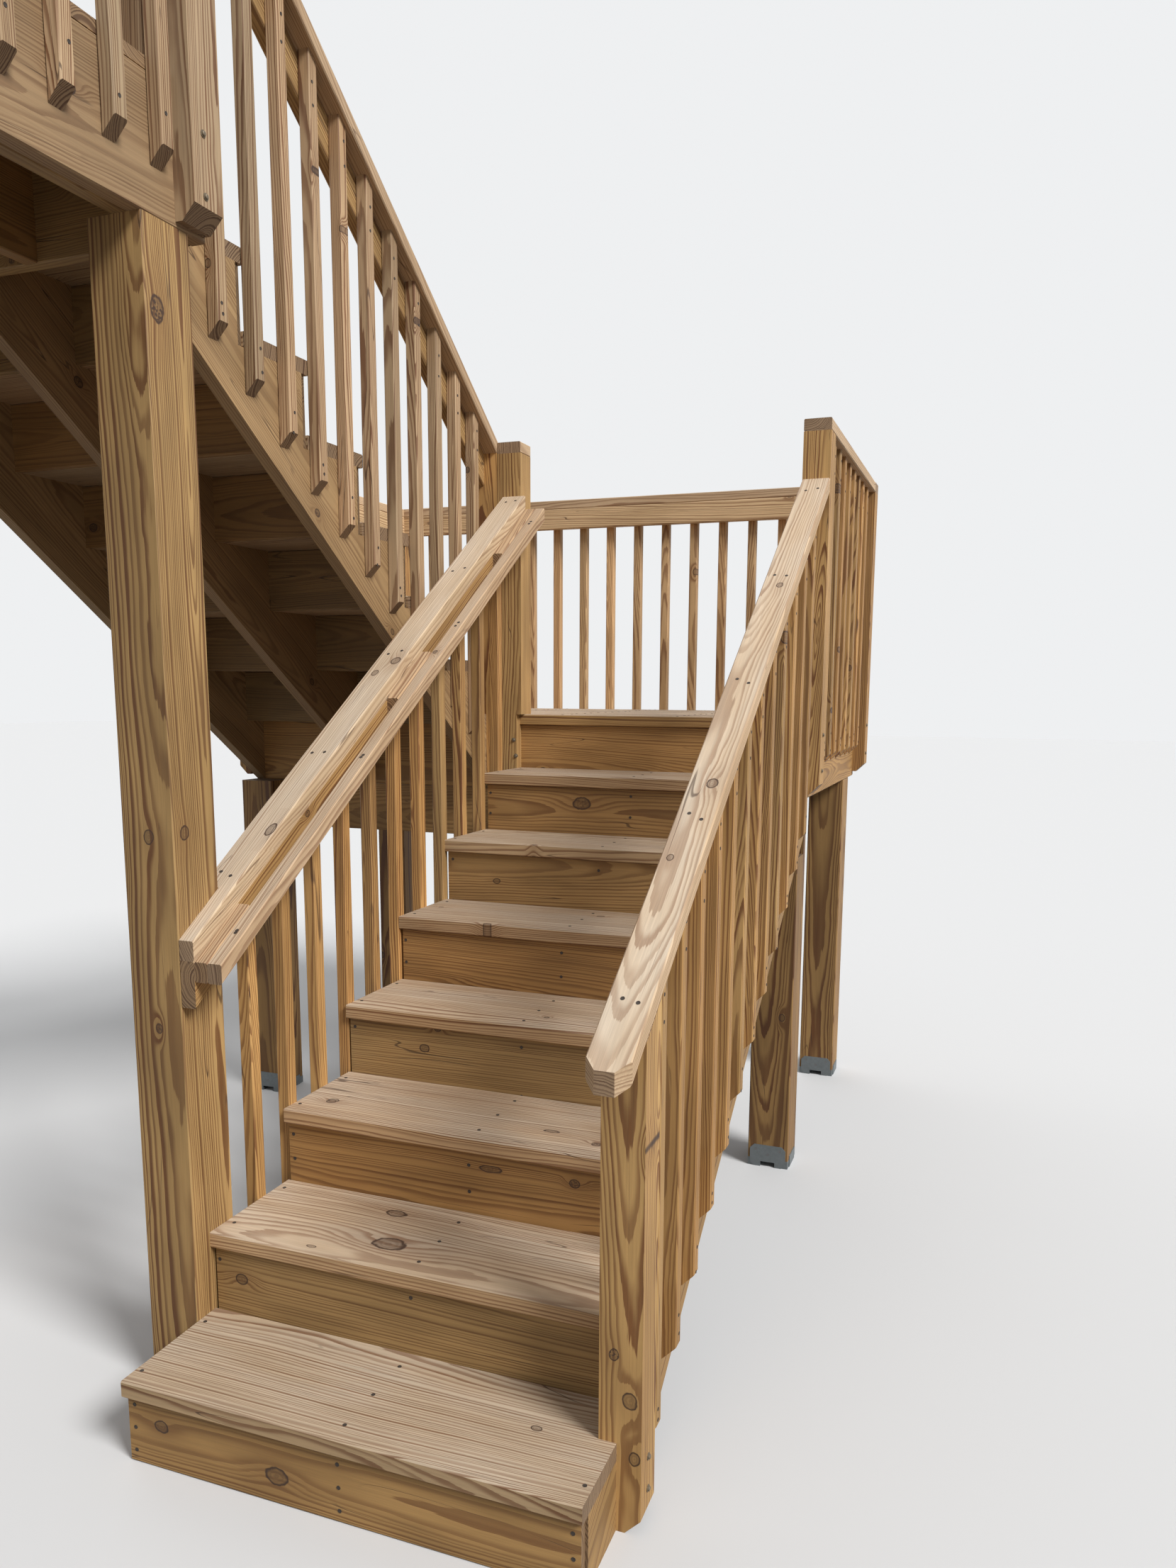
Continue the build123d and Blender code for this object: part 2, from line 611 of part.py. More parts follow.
upper_sticks = (fronts, under_upper_cap, -UPPER_SLOPE, GUARD_HEIGHT + UPPER_FOOT_LAP)
save("upper_right_pickets", *sloping_pickets(UPPER_RIGHT, 1, *upper_sticks))
save("upper_left_pickets", *sloping_pickets(LANDING_LEFT, -1, *upper_sticks))

# Guard round the landing
front_post_y = (HEAD_POST, post_end)
save(
    "landing_corner_posts",
    lapped_post(LANDING_RIGHT, 1, front_post_y, LANDING_TOP, LANDING_POST_LAP, cap_foot),
    lapped_post(LANDING_LEFT, -1, front_post_y, LANDING_TOP, LANDING_POST_LAP, cap_foot),
    rear_corner_post(LANDING_RIGHT, 1),
    rear_corner_post(LANDING_LEFT, -1),
)
rail_y = (post_end, REAR_POST)
rail_z = (cap_foot - RAIL_DEPTH, cap_foot)
cap_z = (cap_foot, LANDING_CAP_TOP)
back_rail_x = (LANDING_LEFT + BOARD, LANDING_RIGHT - BOARD)
save(
    "landing_subrails",
    board((LANDING_LEFT, LANDING_LEFT + BOARD), rail_y, rail_z),
    board((LANDING_RIGHT - BOARD, LANDING_RIGHT), rail_y, rail_z),
    board(back_rail_x, (REAR_POST, LANDING_BACK), rail_z),
)
save(
    "landing_side_caps",
    board(across(LANDING_LEFT, -1, BOARD, POST_OUT), (HEAD_POST, REAR_POST), cap_z),
    board(across(LANDING_RIGHT, 1, BOARD, POST_OUT), (HEAD_POST, REAR_POST), cap_z),
    board((head_post_left, head_post_left + POST), front_post_y, cap_z),
)
back_cap_x = (LANDING_LEFT - POST_OUT, LANDING_RIGHT + POST_OUT)
save("landing_back_cap", board(back_cap_x, (REAR_POST, REAR_POST + POST), cap_z))
foot = LANDING_TOP - LANDING_FOOT_LAP
length = cap_foot - foot
side_fronts = spread(SIDE_PICKETS, *rail_y, PICKET)
save("landing_right_pickets", *level_pickets(LANDING_RIGHT, 1, side_fronts, foot, length))
save("landing_left_pickets", *level_pickets(LANDING_LEFT, -1, side_fronts, foot, length))
stick = picket(length, 0, 1)
row = (back_rail_x[0] + BACK_PICKET_LEFT_GAP, back_rail_x[1] - BACK_PICKET_RIGHT_GAP)
edges = [left + PICKET for left in spread_between(BACK_PICKETS, *row, PICKET)]
save("landing_back_pickets", *[stick.moved(Location((x, LANDING_BACK, foot), (0, 0, 90))) for x in edges])

# Guard on both sides of the deck, and the posts at the head of the upper flight
cap_foot = DECK_CAP_TOP - BOARD
top_post_y = (TOP_POST, TOP_POST_BACK)
end_post_y = (DECK_END, DECK_END + POST)
rail_y = (end_post_y[1], TOP_POST)
rail_z = (cap_foot - RAIL_DEPTH, cap_foot)
cap_z = (cap_foot, DECK_CAP_TOP)
posts = []
for face, side in ((DECK_LEFT, -1), (DECK_RIGHT, 1)):
    for y in (top_post_y, end_post_y):
        posts.append(lapped_post(face, side, y, DECK_TOP, DECK_POST_LAP, cap_foot))
posts.append(board(right_cap_x, top_post_y, (DECK_TOP, cap_foot)))
posts.append(board(left_cap_x, top_post_y, (DECK_TOP, cap_foot)))
save("deck_guard_posts", *posts)
save(
    "deck_subrails",
    board((DECK_LEFT, DECK_LEFT + BOARD), rail_y, rail_z),
    board((DECK_RIGHT - BOARD, DECK_RIGHT), rail_y, rail_z),
)
save(
    "deck_rail_caps",
    board(across(DECK_LEFT, -1, BOARD, POST_OUT), (DECK_END, TOP_POST_BACK), cap_z),
    board(across(DECK_RIGHT, 1, BOARD, POST_OUT), (DECK_END, TOP_POST_BACK), cap_z),
    board(right_cap_x, top_post_y, cap_z),
    board(left_cap_x, top_post_y, cap_z),
)
foot = DECK_TOP - DECK_FOOT_LAP
row = (rail_y[0] + DECK_PICKET_END_GAP, rail_y[1] - DECK_PICKET_STAIR_GAP)
fronts = spread_between(DECK_PICKETS, *row, PICKET)
save("deck_right_pickets", *level_pickets(DECK_RIGHT, 1, fronts, foot, cap_foot - foot))
save("deck_left_pickets", *level_pickets(DECK_LEFT, -1, fronts, foot, cap_foot - foot))
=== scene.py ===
"""Dresses the wooden deck stairs with sawn lumber, screws, bolts and metal bases, and stages them."""

from math import radians, sin

import bpy
from mathutils import Matrix, Vector


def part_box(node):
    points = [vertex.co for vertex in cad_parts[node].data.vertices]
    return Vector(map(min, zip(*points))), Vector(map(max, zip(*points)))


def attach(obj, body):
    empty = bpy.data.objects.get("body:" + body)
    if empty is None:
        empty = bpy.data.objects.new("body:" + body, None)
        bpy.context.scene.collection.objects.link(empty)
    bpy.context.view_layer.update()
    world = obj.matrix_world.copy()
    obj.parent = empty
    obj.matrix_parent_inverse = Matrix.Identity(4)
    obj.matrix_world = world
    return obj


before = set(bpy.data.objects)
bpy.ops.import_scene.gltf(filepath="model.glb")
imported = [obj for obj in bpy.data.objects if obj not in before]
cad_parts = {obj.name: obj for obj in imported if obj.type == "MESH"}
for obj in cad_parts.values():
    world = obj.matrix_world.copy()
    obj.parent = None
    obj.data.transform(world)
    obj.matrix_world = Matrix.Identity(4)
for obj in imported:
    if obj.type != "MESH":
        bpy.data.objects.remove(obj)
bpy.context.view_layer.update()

bl_info = {
    "name": "Wooden Deck Stairs",
    "version": (1, 0, 0),
    "blender": (4, 5, 0),
    "location": "View3D > Sidebar > Deck Stairs",
    "description": "Finishes the lumber of the deck stairs, adds their fixings and sets up a stage",
    "category": "Object",
}

# Axes, and the grain of boards: along, across and through them
X = Vector((1, 0, 0))
Y = Vector((0, 1, 0))
Z = Vector((0, 0, 1))
FLAT_X = (X, Y, Z)
EDGE_X = (X, Z, Y)
FLAT_Y = (Y, X, Z)
EDGE_Y = (Y, Z, X)
UPRIGHT = (Z, X, Y)

# Sizes of the lumber
BOARD = 0.038
RISER = 0.019
POST = 0.089
BIG_POST = 0.140
PICKET = 0.035
LANDING_PLANK = 0.147125
DECK_PLANK = 0.1348
PLANK_GAP = 0.005

# Rises, goings and slopes of the flights and their guards
LOWER_RISE = 0.195
LOWER_GOING = 0.2985
UPPER_RISE = 0.190
UPPER_GOING = 0.260
LOWER_PITCH = LOWER_RISE / LOWER_GOING
UPPER_PITCH = -UPPER_RISE / UPPER_GOING
LOWER_RAIL = 0.674
FIRST_RISER_TOP = 0.152
TOP_RISER_LAP = 0.013
TREADS = {"lower": 7, "upper": 6}
RISERS = 7

# How many pickets stand in each guard, and the guards that slope
PICKET_COUNTS = {
    "lower_right_pickets": 12,
    "lower_left_pickets": 11,
    "upper_right_pickets": 11,
    "upper_left_pickets": 11,
    "landing_right_pickets": 8,
    "landing_left_pickets": 8,
    "deck_right_pickets": 10,
    "deck_left_pickets": 10,
    "landing_back_pickets": 16,
}
GUARD_SLOPES = {"lower": LOWER_RAIL, "upper": UPPER_PITCH}

# Heights of the bolts, and how far those of the head posts lie in from the posts' outer edges
DECK_BOLTS = (2.7775, 2.6565)
LANDING_BOLTS = (1.50, 1.38)
NEWEL_BOLTS = (0.075, 0.145)
RIGHT_HEAD_BOLTS = ((0.030, 1.463), (0.022, 1.405))
LEFT_HEAD_BOLTS = ((0.0745, 1.517), (0.066, 1.435))

# How screws are set out: the first key of their stray offsets, and distances from edges and posts
RISER_KEYS = 200
PLANK_KEYS = 500
CAP_KEYS = 900
JOISTS = 4
PLANK_EDGE = 0.03
POST_CLEAR = 0.008
CAP_PAIR = 0.017
BACK_CAP_PAIR = 0.018

# Screw and bolt heads, and the screws of the metal bases: across from the middle, and height
SCREW_DEPTH = 0.0018
SCREW_TOP = 0.0008
DRIVE_DEPTH = 0.0005
WASHER_DEPTH = 0.0024
WASHER_TOP = 0.0016
BOLT_HEIGHT = 0.0026
BOLT_DOME = 0.0012
BOLT_ZINC = (0.20, 0.16, 0.11)
BASE_SCREWS = ((-0.042, 0.062), (0.0, 0.045), (0.042, 0.062))
BASE_SCREW_RADIUS = 0.005
BASE_SCREW_ZINC = (0.2, 0.2, 0.2)
BASE_METAL = 0.003

# Lumber shader: its colours, cells a metre that can hold a knot, how deep a placed knot goes, fibre relief
LUMBER_COLOURS = ("Earlywood", "Latewood", "Knot Colour", "Weathered", "End Grain")
KNOT_CELLS = 4.0
KNOT_REACH = 0.045
FIBRE_DEPTH = 0.0012

# Lamps, the point they look at, and the floor
KEY_PLACE = (7.0, -2.9, 8.5)
FILL_PLACE = (-6.0, 6.0, 7.5)
LAMP_AIM = Vector((0, 0, 1.5))
FLOOR_SIZE = 80
SKY_COLOUR = (0.94, 0.97, 1.0, 1)
BACKDROP_COLOUR = (0.86, 0.87, 0.88, 1)

# Rows of boards: one board, no size, and a spacing that no node reaches
ONE = (1, 1, 1)
NONE = (0, 0, 0)
FAR = 100.0


class LumberSettings(bpy.types.PropertyGroup):
    """Colours and grain of the sawn lumber."""

    earlywood: bpy.props.FloatVectorProperty(
        name="Earlywood", description="Pale wood between the rings", subtype="COLOR", size=3, min=0, max=1,
        default=(0.50, 0.298, 0.118))
    latewood: bpy.props.FloatVectorProperty(
        name="Latewood", description="Dark wood of the rings", subtype="COLOR", size=3, min=0, max=1,
        default=(0.165, 0.064, 0.018))
    knot: bpy.props.FloatVectorProperty(
        name="Knots", description="Heart of a knot", subtype="COLOR", size=3, min=0, max=1,
        default=(0.045, 0.020, 0.010))
    weathered: bpy.props.FloatVectorProperty(
        name="Weathered", description="Faces that rain and sun reach", subtype="COLOR", size=3, min=0, max=1,
        default=(0.50, 0.41, 0.31))
    end_grain: bpy.props.FloatVectorProperty(
        name="End grain", description="Sawn ends", subtype="COLOR", size=3, min=0, max=1,
        default=(0.21, 0.135, 0.078))
    ring_gap: bpy.props.FloatProperty(
        name="Ring gap", description="Growth of one year", subtype="DISTANCE", unit="LENGTH", default=0.0065)


class HardwareSettings(bpy.types.PropertyGroup):
    """Sizes and colours of the fixings."""

    screw_radius: bpy.props.FloatProperty(
        name="Screw head radius", description="Half the width of a deck screw's head",
        subtype="DISTANCE", unit="LENGTH", default=0.0046)
    bolt_radius: bpy.props.FloatProperty(
        name="Bolt head radius", description="Half the width of a carriage bolt's head",
        subtype="DISTANCE", unit="LENGTH", default=0.0052)
    screw_colour: bpy.props.FloatVectorProperty(
        name="Screws", description="Coated steel of the screws", subtype="COLOR", size=3, min=0, max=1,
        default=(0.045, 0.033, 0.025))
    # Colour of the bases: the metal's own grey, darkened further as painted shade.
    metal_colour_and_painted_shade: bpy.props.FloatVectorProperty(
        name="Bases", description="Metal of the bases and bolts", subtype="COLOR", size=3, min=0, max=1,
        default=(0.19, 0.21, 0.215))


class StageSettings(bpy.types.PropertyGroup):
    """Floor, lamps and camera."""

    floor_colour: bpy.props.FloatVectorProperty(
        name="Floor", description="Colour of the floor as the camera sees it", subtype="COLOR", size=3,
        min=0, max=1, default=(0.629, 0.627, 0.625))
    floor_bounce: bpy.props.FloatVectorProperty(
        name="Floor bounce", description="Colour that the floor throws back on the stairs", subtype="COLOR",
        size=3, min=0, max=1, default=(0.16, 0.15, 0.14))
    sky: bpy.props.FloatProperty(name="Sky", description="Strength of the even light", default=0.44, min=0)
    key: bpy.props.FloatProperty(name="Key lamp", description="Strength of the soft lamp", default=3.5, min=0)
    fill: bpy.props.FloatProperty(
        name="Fill lamp", description="Strength of the faint lamp behind", default=1.0, min=0)
    softness: bpy.props.FloatProperty(
        name="Softness", description="Angle that the lamp fills in the sky", subtype="ANGLE", unit="ROTATION",
        default=radians(20.0))
    eye: bpy.props.FloatVectorProperty(
        name="Eye", description="Where the camera stands", subtype="TRANSLATION", unit="LENGTH", size=3,
        default=(1.8129, -2.8458, 1.6469))
    turn: bpy.props.FloatVectorProperty(
        name="Turn", description="How the camera is turned", subtype="EULER", unit="ROTATION", size=3,
        default=(radians(81.161), radians(-0.320), radians(20.455)))
    lens: bpy.props.FloatProperty(name="Lens", description="Focal length in millimetres", default=25.757)
    shift_x: bpy.props.FloatProperty(
        name="Shift X", description="Sideways shift of the frame", default=-0.0019)
    shift_y: bpy.props.FloatProperty(name="Shift Y", description="Upward shift of the frame", default=0.0508)


def wire(socket, value):
    """Link a value to a socket, or set the socket to it."""
    if isinstance(value, Value):
        socket.id_data.links.new(value.socket, socket)
    elif value is not None:
        socket.default_value = value


def add_node(tree, kind, *values, **settings):
    """A node with its settings, and its first sockets wired to values."""
    node = tree.nodes.new(kind)
    for name, setting in settings.items():
        setattr(node, name, setting)
    for socket, value in zip(node.inputs, values):
        wire(socket, value)
    return node


class Value:
    """A socket of a shader tree, whose arithmetic adds nodes to the tree."""

    def __init__(self, socket):
        self.socket = socket
        self.tree = socket.id_data

    def __add__(self, other):
        return self.maths("ADD", other)

    def __sub__(self, other):
        return self.maths("SUBTRACT", other)

    def __mul__(self, other):
        return self.maths("MULTIPLY", other)

    def __truediv__(self, other):
        return self.maths("DIVIDE", other)


class Number(Value):
    """A number in a shader tree."""

    def maths(self, operation, *others):
        """A Math node on the number."""
        return Number(add_node(self.tree, "ShaderNodeMath", self, *others, operation=operation).outputs[0])

    def larger(self, other):
        """The larger of two numbers."""
        return self.maths("MAXIMUM", other)

    def above(self, limit):
        """One where the number is greater than a limit."""
        return self.maths("GREATER_THAN", limit)

    def below(self, limit):
        """One where the number is less than a limit."""
        return self.maths("LESS_THAN", limit)

    def size(self):
        """The number without its sign."""
        return self.maths("ABSOLUTE")

    def clamped(self):
        """The number kept between none and one by the node that makes it."""
        self.socket.node.use_clamp = True
        return self

    def span(self, low, high):
        """A smooth mask, none at the first limit and one at the second."""
        node = add_node(self.tree, "ShaderNodeMapRange", self, low, high, interpolation_type="SMOOTHSTEP")
        return Number(node.outputs[0])


class Point(Value):
    """A vector or a colour in a shader tree."""

    def maths(self, operation, *others):
        """A Vector Math node on the vector."""
        node = add_node(self.tree, "ShaderNodeVectorMath", self, *others, operation=operation)
        return Point(node.outputs[0])

    def scaled(self, factor):
        """The vector times a number."""
        return self.maths("MULTIPLY", (factor, factor, factor))

    def dot(self, other):
        """Dot product with another vector."""
        return Number(self.maths("DOT_PRODUCT", other).socket.node.outputs[1])

    def length(self):
        """Length of the vector."""
        return Number(self.maths("LENGTH").socket.node.outputs[1])

    def parts(self):
        """The vector's three numbers."""
        return [Number(part) for part in add_node(self.tree, "ShaderNodeSeparateXYZ", self).outputs]


def combine(*values):
    """A vector of three numbers."""
    tree = next(value.tree for value in values if isinstance(value, Number))
    return Point(add_node(tree, "ShaderNodeCombineXYZ", *values).outputs[0])


def even(value):
    """A grey as bright as a number."""
    return combine(value, value, value)


def mix(factor, a, b):
    """A colour between two others."""
    node = add_node(factor.tree, "ShaderNodeMix", factor, data_type="RGBA")
    wire(node.inputs[6], a)
    wire(node.inputs[7], b)
    return Point(node.outputs[2])


def noise(point, detail=2.0, roughness=0.5):
    """Noise at a point that is already scaled, as a number and as a vector."""
    node = add_node(point.tree, "ShaderNodeTexNoise", point)
    node.inputs["Scale"].default_value = 1.0
    node.inputs["Detail"].default_value = detail
    node.inputs["Roughness"].default_value = roughness
    return Number(node.outputs["Fac"]), Point(node.outputs["Color"])


def chance(seed):
    """Random number and vector from one number."""
    node = add_node(seed.tree, "ShaderNodeTexWhiteNoise", noise_dimensions="1D")
    wire(node.inputs["W"], seed)
    return Number(node.outputs["Value"]), Point(node.outputs["Color"])


def new_group(name, inputs, outputs):
    """An empty shader group with named sockets, its inputs by name, and its output sockets."""
    tree = bpy.data.node_groups.new(name, "ShaderNodeTree")
    for label, kind, value in inputs:
        socket = tree.interface.new_socket(label, in_out="INPUT", socket_type="NodeSocket" + kind)
        socket.default_value = value
    for label, kind in outputs:
        tree.interface.new_socket(label, in_out="OUTPUT", socket_type="NodeSocket" + kind)
    sockets = tree.nodes.new("NodeGroupInput").outputs
    source = {label: (Number if kind == "Float" else Point)(sockets[label]) for label, kind, _ in inputs}
    return source, tree.nodes.new("NodeGroupOutput").inputs


def board_space(source):
    """Finds the board that a point lies in, and the point's place along, across and through that board."""
    offset = source["Point"] - source["Centre"]
    cell = (offset / source["Cell"] + (0.5, 0.5, 0.5)).maths("FLOOR")
    climb = combine(0.0, 0.0, cell.parts()[1] * source["Rise"])
    local = offset - cell * source["Cell"] - climb
    axes = [local.dot(source[label]) for label in ("Along", "Across", "Through")]
    return axes, combine(*axes), cell.dot((1.0, 7.0, 13.0)) + source["Seed"]


def knot_cells(point, feature):
    """Outputs of cells that hold one knot each."""
    node = add_node(point.tree, "ShaderNodeTexVoronoi", voronoi_dimensions="2D", feature=feature)
    wire(node.inputs["Vector"], point)
    node.inputs["Scale"].default_value = 1.0
    node.inputs["Randomness"].default_value = 0.6
    return node.outputs


def find_knots(along, across, ragged, seed, share):
    """Round knots that run through a board here and there, with the grain that swirls round them."""
    point = combine(along * KNOT_CELLS + seed * 17.3, across * KNOT_CELLS + seed * 9.1, 0.0)
    cells = knot_cells(point, "F1")
    edge = Number(knot_cells(point, "DISTANCE_TO_EDGE")["Distance"])
    picked = Point(cells["Color"]).parts()
    present = edge.span(0.0, 0.16) * picked[0].below(share)
    radius = picked[1] * 0.036 + 0.022
    offset = point - Point(cells["Position"])
    distance = (ragged * 1.2 + (offset * (0.8, 1.0, 0.0)).length()) / radius
    swirl = (offset * (0.45, 1.0, 0.0)).length() / radius
    bark = picked[2].above(0.6) * 0.8
    patches = noise(point.scaled(40.0), 1.0)[0]
    knot, halo = knot_masks(distance, swirl, bark, patches)
    return knot * present, halo * present


def knot_masks(distance, swirl, bark, patches):
    """Mask of a knot with a dark rim, rings and bark, and mask of the grain that swirls round it."""
    core = distance.span(1.10, 0.95)
    rim = distance.span(0.62, 0.90)
    rings = (distance * 15.0).maths("SINE")
    inner = rings * 0.10 + (rim * 0.48 + 0.42)
    return core * inner.larger(bark * patches.span(0.40, 0.56)), swirl.span(3.2, 0.2)


def build_knot_group():
    """One knot at a chosen place, gone through a board from face to face."""
    inputs = [(label, "Vector", Vector()) for label in ("Point", "Place", "Along", "Across", "Through")]
    inputs += [("Radius", "Float", 0.015), ("Stretch", "Float", 1.0), ("Bark", "Float", 0.0)]
    source, sink = new_group("placed_knot", inputs, [("Knot", "Float"), ("Halo", "Float")])
    offset = source["Point"] - source["Place"]
    along = offset.dot(source["Along"])
    across = offset.dot(source["Across"])
    stretches = (source["Stretch"], source["Stretch"] * 2.0)
    near, wide = [combine(along / stretch, across, 0.0).length() / source["Radius"] for stretch in stretches]
    distance = near + (noise(source["Point"].scaled(45.0))[0] * 0.6 - 0.3)
    patches = noise(source["Point"].scaled(150.0))[0]
    knot, halo = knot_masks(distance, wide, source["Bark"], patches)
    inside = offset.dot(source["Through"]).size().below(KNOT_REACH)
    wire(sink["Knot"], knot * inside)
    wire(sink["Halo"], halo * (source["Radius"] * 42.0).clamped() * inside)


def growth_rings(source, axes, board, seed, fibre):
    """Growth rings of a board sawn from a round trunk, bent round its knots."""
    along, across, through = axes

    # How the grain drifts along the board and wavers
    luck = chance(seed)[1]
    first = luck.parts()
    second = chance(seed + 0.5)[1].parts()
    shift = luck.scaled(60.0)
    slow = noise(board * (0.9, 2.5, 2.5) + shift, 1.0)[1] - (0.5, 0.5, 0.5)
    fine = noise(board * (5.0, 24.0, 24.0) + shift)[1] - (0.5, 0.5, 0.5)
    slow = slow.scaled(0.060).parts()
    fine = fine.scaled(0.006).parts()

    # How far to the side and how deep the heart of the trunk lies, and how far from it a point is
    side = (first[0] * 2.0 - 1.0) * source["Pith Side"]
    flip = first[2].above(0.5) * 2.0 - 1.0
    depth = (first[1] + 0.4) * source["Pith Depth"] * flip
    u = along * ((second[0] - 0.5) * 0.05) + (across - side) + slow[1] + fine[1]
    v = along * ((second[1] - 0.5) * 0.07) + (through - depth) + slow[2] + fine[2]
    radius = combine(u, v, 0.0).length()

    # The rings swing round the knots
    knot, halo = find_knots(along, across, fine[1], seed, source["Knots"])
    knot = knot.larger(source["Placed Knot"])
    halo = halo.larger(source["Placed Halo"])
    radius = halo * halo * 0.015 + radius + fibre * 0.0016

    # Years of unlike width, each dark towards its end
    widths = add_node(seed.tree, "ShaderNodeTexNoise", noise_dimensions="1D")
    wire(widths.inputs["W"], radius * 38.0 + seed)
    widths.inputs["Scale"].default_value = 1.0
    widths.inputs["Detail"].default_value = 1.0
    years = Number(widths.outputs["Fac"]) * 3.0 + radius / source["Ring Gap"]
    year = years.maths("FRACT")
    dark = chance(years.maths("FLOOR") + seed)[0] * 0.5 + 0.5
    return year.span(0.36, 0.76) * year.span(1.0, 0.95) * dark, knot, halo


def build_lumber_group():
    """Sawn lumber: colour, roughness and height from its rings, fibres, knots, weather and sawn ends."""
    vectors = [("Point", Vector()), ("Facing", Z), ("Centre", Vector()), ("Cell", Vector((FAR, FAR, FAR)))]
    vectors += [("Along", X), ("Across", Y), ("Through", Z)]
    numbers = [("Rise", 0.0), ("Seed", 0.0), ("Ring Gap", 0.0065), ("Pith Side", 0.04), ("Pith Depth", 0.06)]
    numbers += [("Knots", 0.25), ("Placed Knot", 0.0), ("Placed Halo", 0.0)]
    numbers += [("Weather", 0.5), ("Bleach", 0.0), ("Contrast", 0.8)]
    inputs = [(label, "Vector", value) for label, value in vectors]
    inputs += [(label, "Float", value) for label, value in numbers]
    inputs += [(label, "Color", (0.5, 0.4, 0.3, 1)) for label in LUMBER_COLOURS]
    outputs = [("Colour", "Color"), ("Roughness", "Float"), ("Height", "Float")]
    source, sink = new_group("sawn_lumber", inputs, outputs)
    axes, board, seed = board_space(source)

    # Fibres, rings, streaks and blotches
    luck = chance(seed)[0]
    shifted = board + combine(luck * 31.0, luck * 57.0, 0.0)
    fibre = noise(shifted * (6.0, 230.0, 230.0), 3.0, 0.6)[0]
    streak = noise(shifted * (1.6, 45.0, 45.0))[0]
    blotch = noise(shifted * (2.2, 9.0, 9.0))[0]
    crack = noise(shifted * (1.1, 19.0, 19.0), 1.0)[0]
    ring, knot, halo = growth_rings(source, axes, board, seed, fibre)
    rings = (ring * source["Contrast"] * (streak * 0.7 + 0.6)).clamped()

    # Bare wood, with a tone of its own on each board
    tone = mix(luck, (1.06, 0.98, 0.86, 1), (0.92, 0.98, 1.02, 1))
    bright = even(chance(seed + 0.25)[0] * 0.30 + 0.83)
    warm = mix(blotch.span(0.32, 0.70), (0.80, 0.77, 0.70, 1), (1.12, 1.10, 1.05, 1))
    grain = even(fibre * 0.56 + 0.72)
    wood = mix(rings, source["Earlywood"], source["Latewood"]) * (tone * bright) * warm * grain

    # Weather, on the faces that look up and on those that are bleached
    upward = source["Facing"].dot((0.0, 0.0, 1.0)).span(0.2, 0.8)
    worn = blotch.span(0.25, 0.7) * 0.35 + 0.65
    worn = worn * (upward * source["Weather"]).larger(source["Bleach"])
    pale = mix(rings * 0.86, source["Weathered"], source["Latewood"]) * bright * grain
    wood = mix(worn, wood, pale)

    # Knots, and splits darkened to the knot colour as painted shade in their open cracks
    wood = mix(halo * 0.30, wood, source["Latewood"])
    wood = mix((knot * 0.97).clamped(), wood, source["Knot Colour"])
    split = (crack - 0.5).size().span(0.006, 0.0015) * blotch.span(0.52, 0.62)
    wood = mix(split * 0.7, wood, source["Knot Colour"])

    # Sawn ends
    sawn_end = source["Facing"].dot(source["Along"]).size().span(0.55, 0.68)
    end = mix(ring, source["End Grain"], source["Knot Colour"])
    end = end * mix(blotch, (0.8, 0.8, 0.8, 1), (1.5, 1.5, 1.5, 1))
    wire(sink["Colour"], mix(sawn_end * 0.8, wood, end))

    # Roughness, and fibres that stand out beside open splits
    wire(sink["Roughness"], (worn * 0.12 + (fibre * 0.22 + 0.55)).clamped())
    wire(sink["Height"], split * -1.4 + fibre * 0.6)


def new_material(name):
    """A material, its tree and the sockets of its one Principled shader."""
    material = bpy.data.materials.new(name)
    material.use_nodes = True
    tree = material.node_tree
    return material, tree, tree.nodes["Principled BSDF"].inputs


def lumber_material(name, grain, seed, centre, cell, rise=0.0, **look):
    """Sawn lumber whose boards run along the first vector of its grain."""
    lumber = bpy.context.scene.deck_stairs_lumber
    material, tree, shader = new_material(name)
    coordinates = tree.nodes.new("ShaderNodeTexCoord").outputs
    point = Point(coordinates["Object"])
    values = {
        "Point": point,
        "Facing": Point(coordinates["Normal"]),
        "Centre": centre,
        "Cell": cell,
        "Rise": rise,
        "Seed": float(seed),
        "Ring Gap": look.get("ring_gap", lumber.ring_gap),
        "Pith Side": look.get("pith_side", 0.04),
        "Pith Depth": look.get("pith_depth", 0.06),
        "Knots": look.get("knots", 0.25),
        "Weather": look.get("weather", 0.6),
        "Bleach": look.get("bleach", 0.0),
        "Contrast": look.get("contrast", 0.95),
    }
    if isinstance(grain[0], Vector):
        values.update(zip(("Along", "Across", "Through"), grain))
    else:
        values.update(turned_grain(point, grain, centre, cell))
    for place, radius, stretch, facing, bark in look.get("placed", ()):
        across = grain[0].cross(facing).normalized()
        facts = {"Point": point, "Place": place, "Along": grain[0], "Across": across, "Through": facing}
        facts.update({"Radius": radius, "Stretch": stretch, "Bark": bark})
        knot = place_group(tree, "placed_knot", facts)
        for label in ("Knot", "Halo"):
            mask = Number(knot[label])
            before = values.get("Placed " + label)
            values["Placed " + label] = before.larger(mask) if before else mask
    # Each look's shade factor scales all its colours. On most parts it is the lumber's own tone; on the parts
    # noted at their looks it darkens them as painted shade or brightens them as painted light.
    colours = (lumber.earlywood, lumber.latewood, lumber.knot, lumber.weathered, lumber.end_grain)
    for label, colour in zip(LUMBER_COLOURS, colours):
        values[label] = tuple(part * look.get("shade", 1.0) for part in colour) + (1,)
    wood = place_group(tree, "sawn_lumber", values)
    wire(shader["Base Color"], Point(wood["Colour"]))
    wire(shader["Roughness"], Number(wood["Roughness"]))
    bump = tree.nodes.new("ShaderNodeBump")
    bump.inputs["Strength"].default_value = 0.4
    bump.inputs["Distance"].default_value = FIBRE_DEPTH
    wire(bump.inputs["Height"], Number(wood["Height"]))
    wire(shader["Normal"], Point(bump.outputs["Normal"]))
    return material


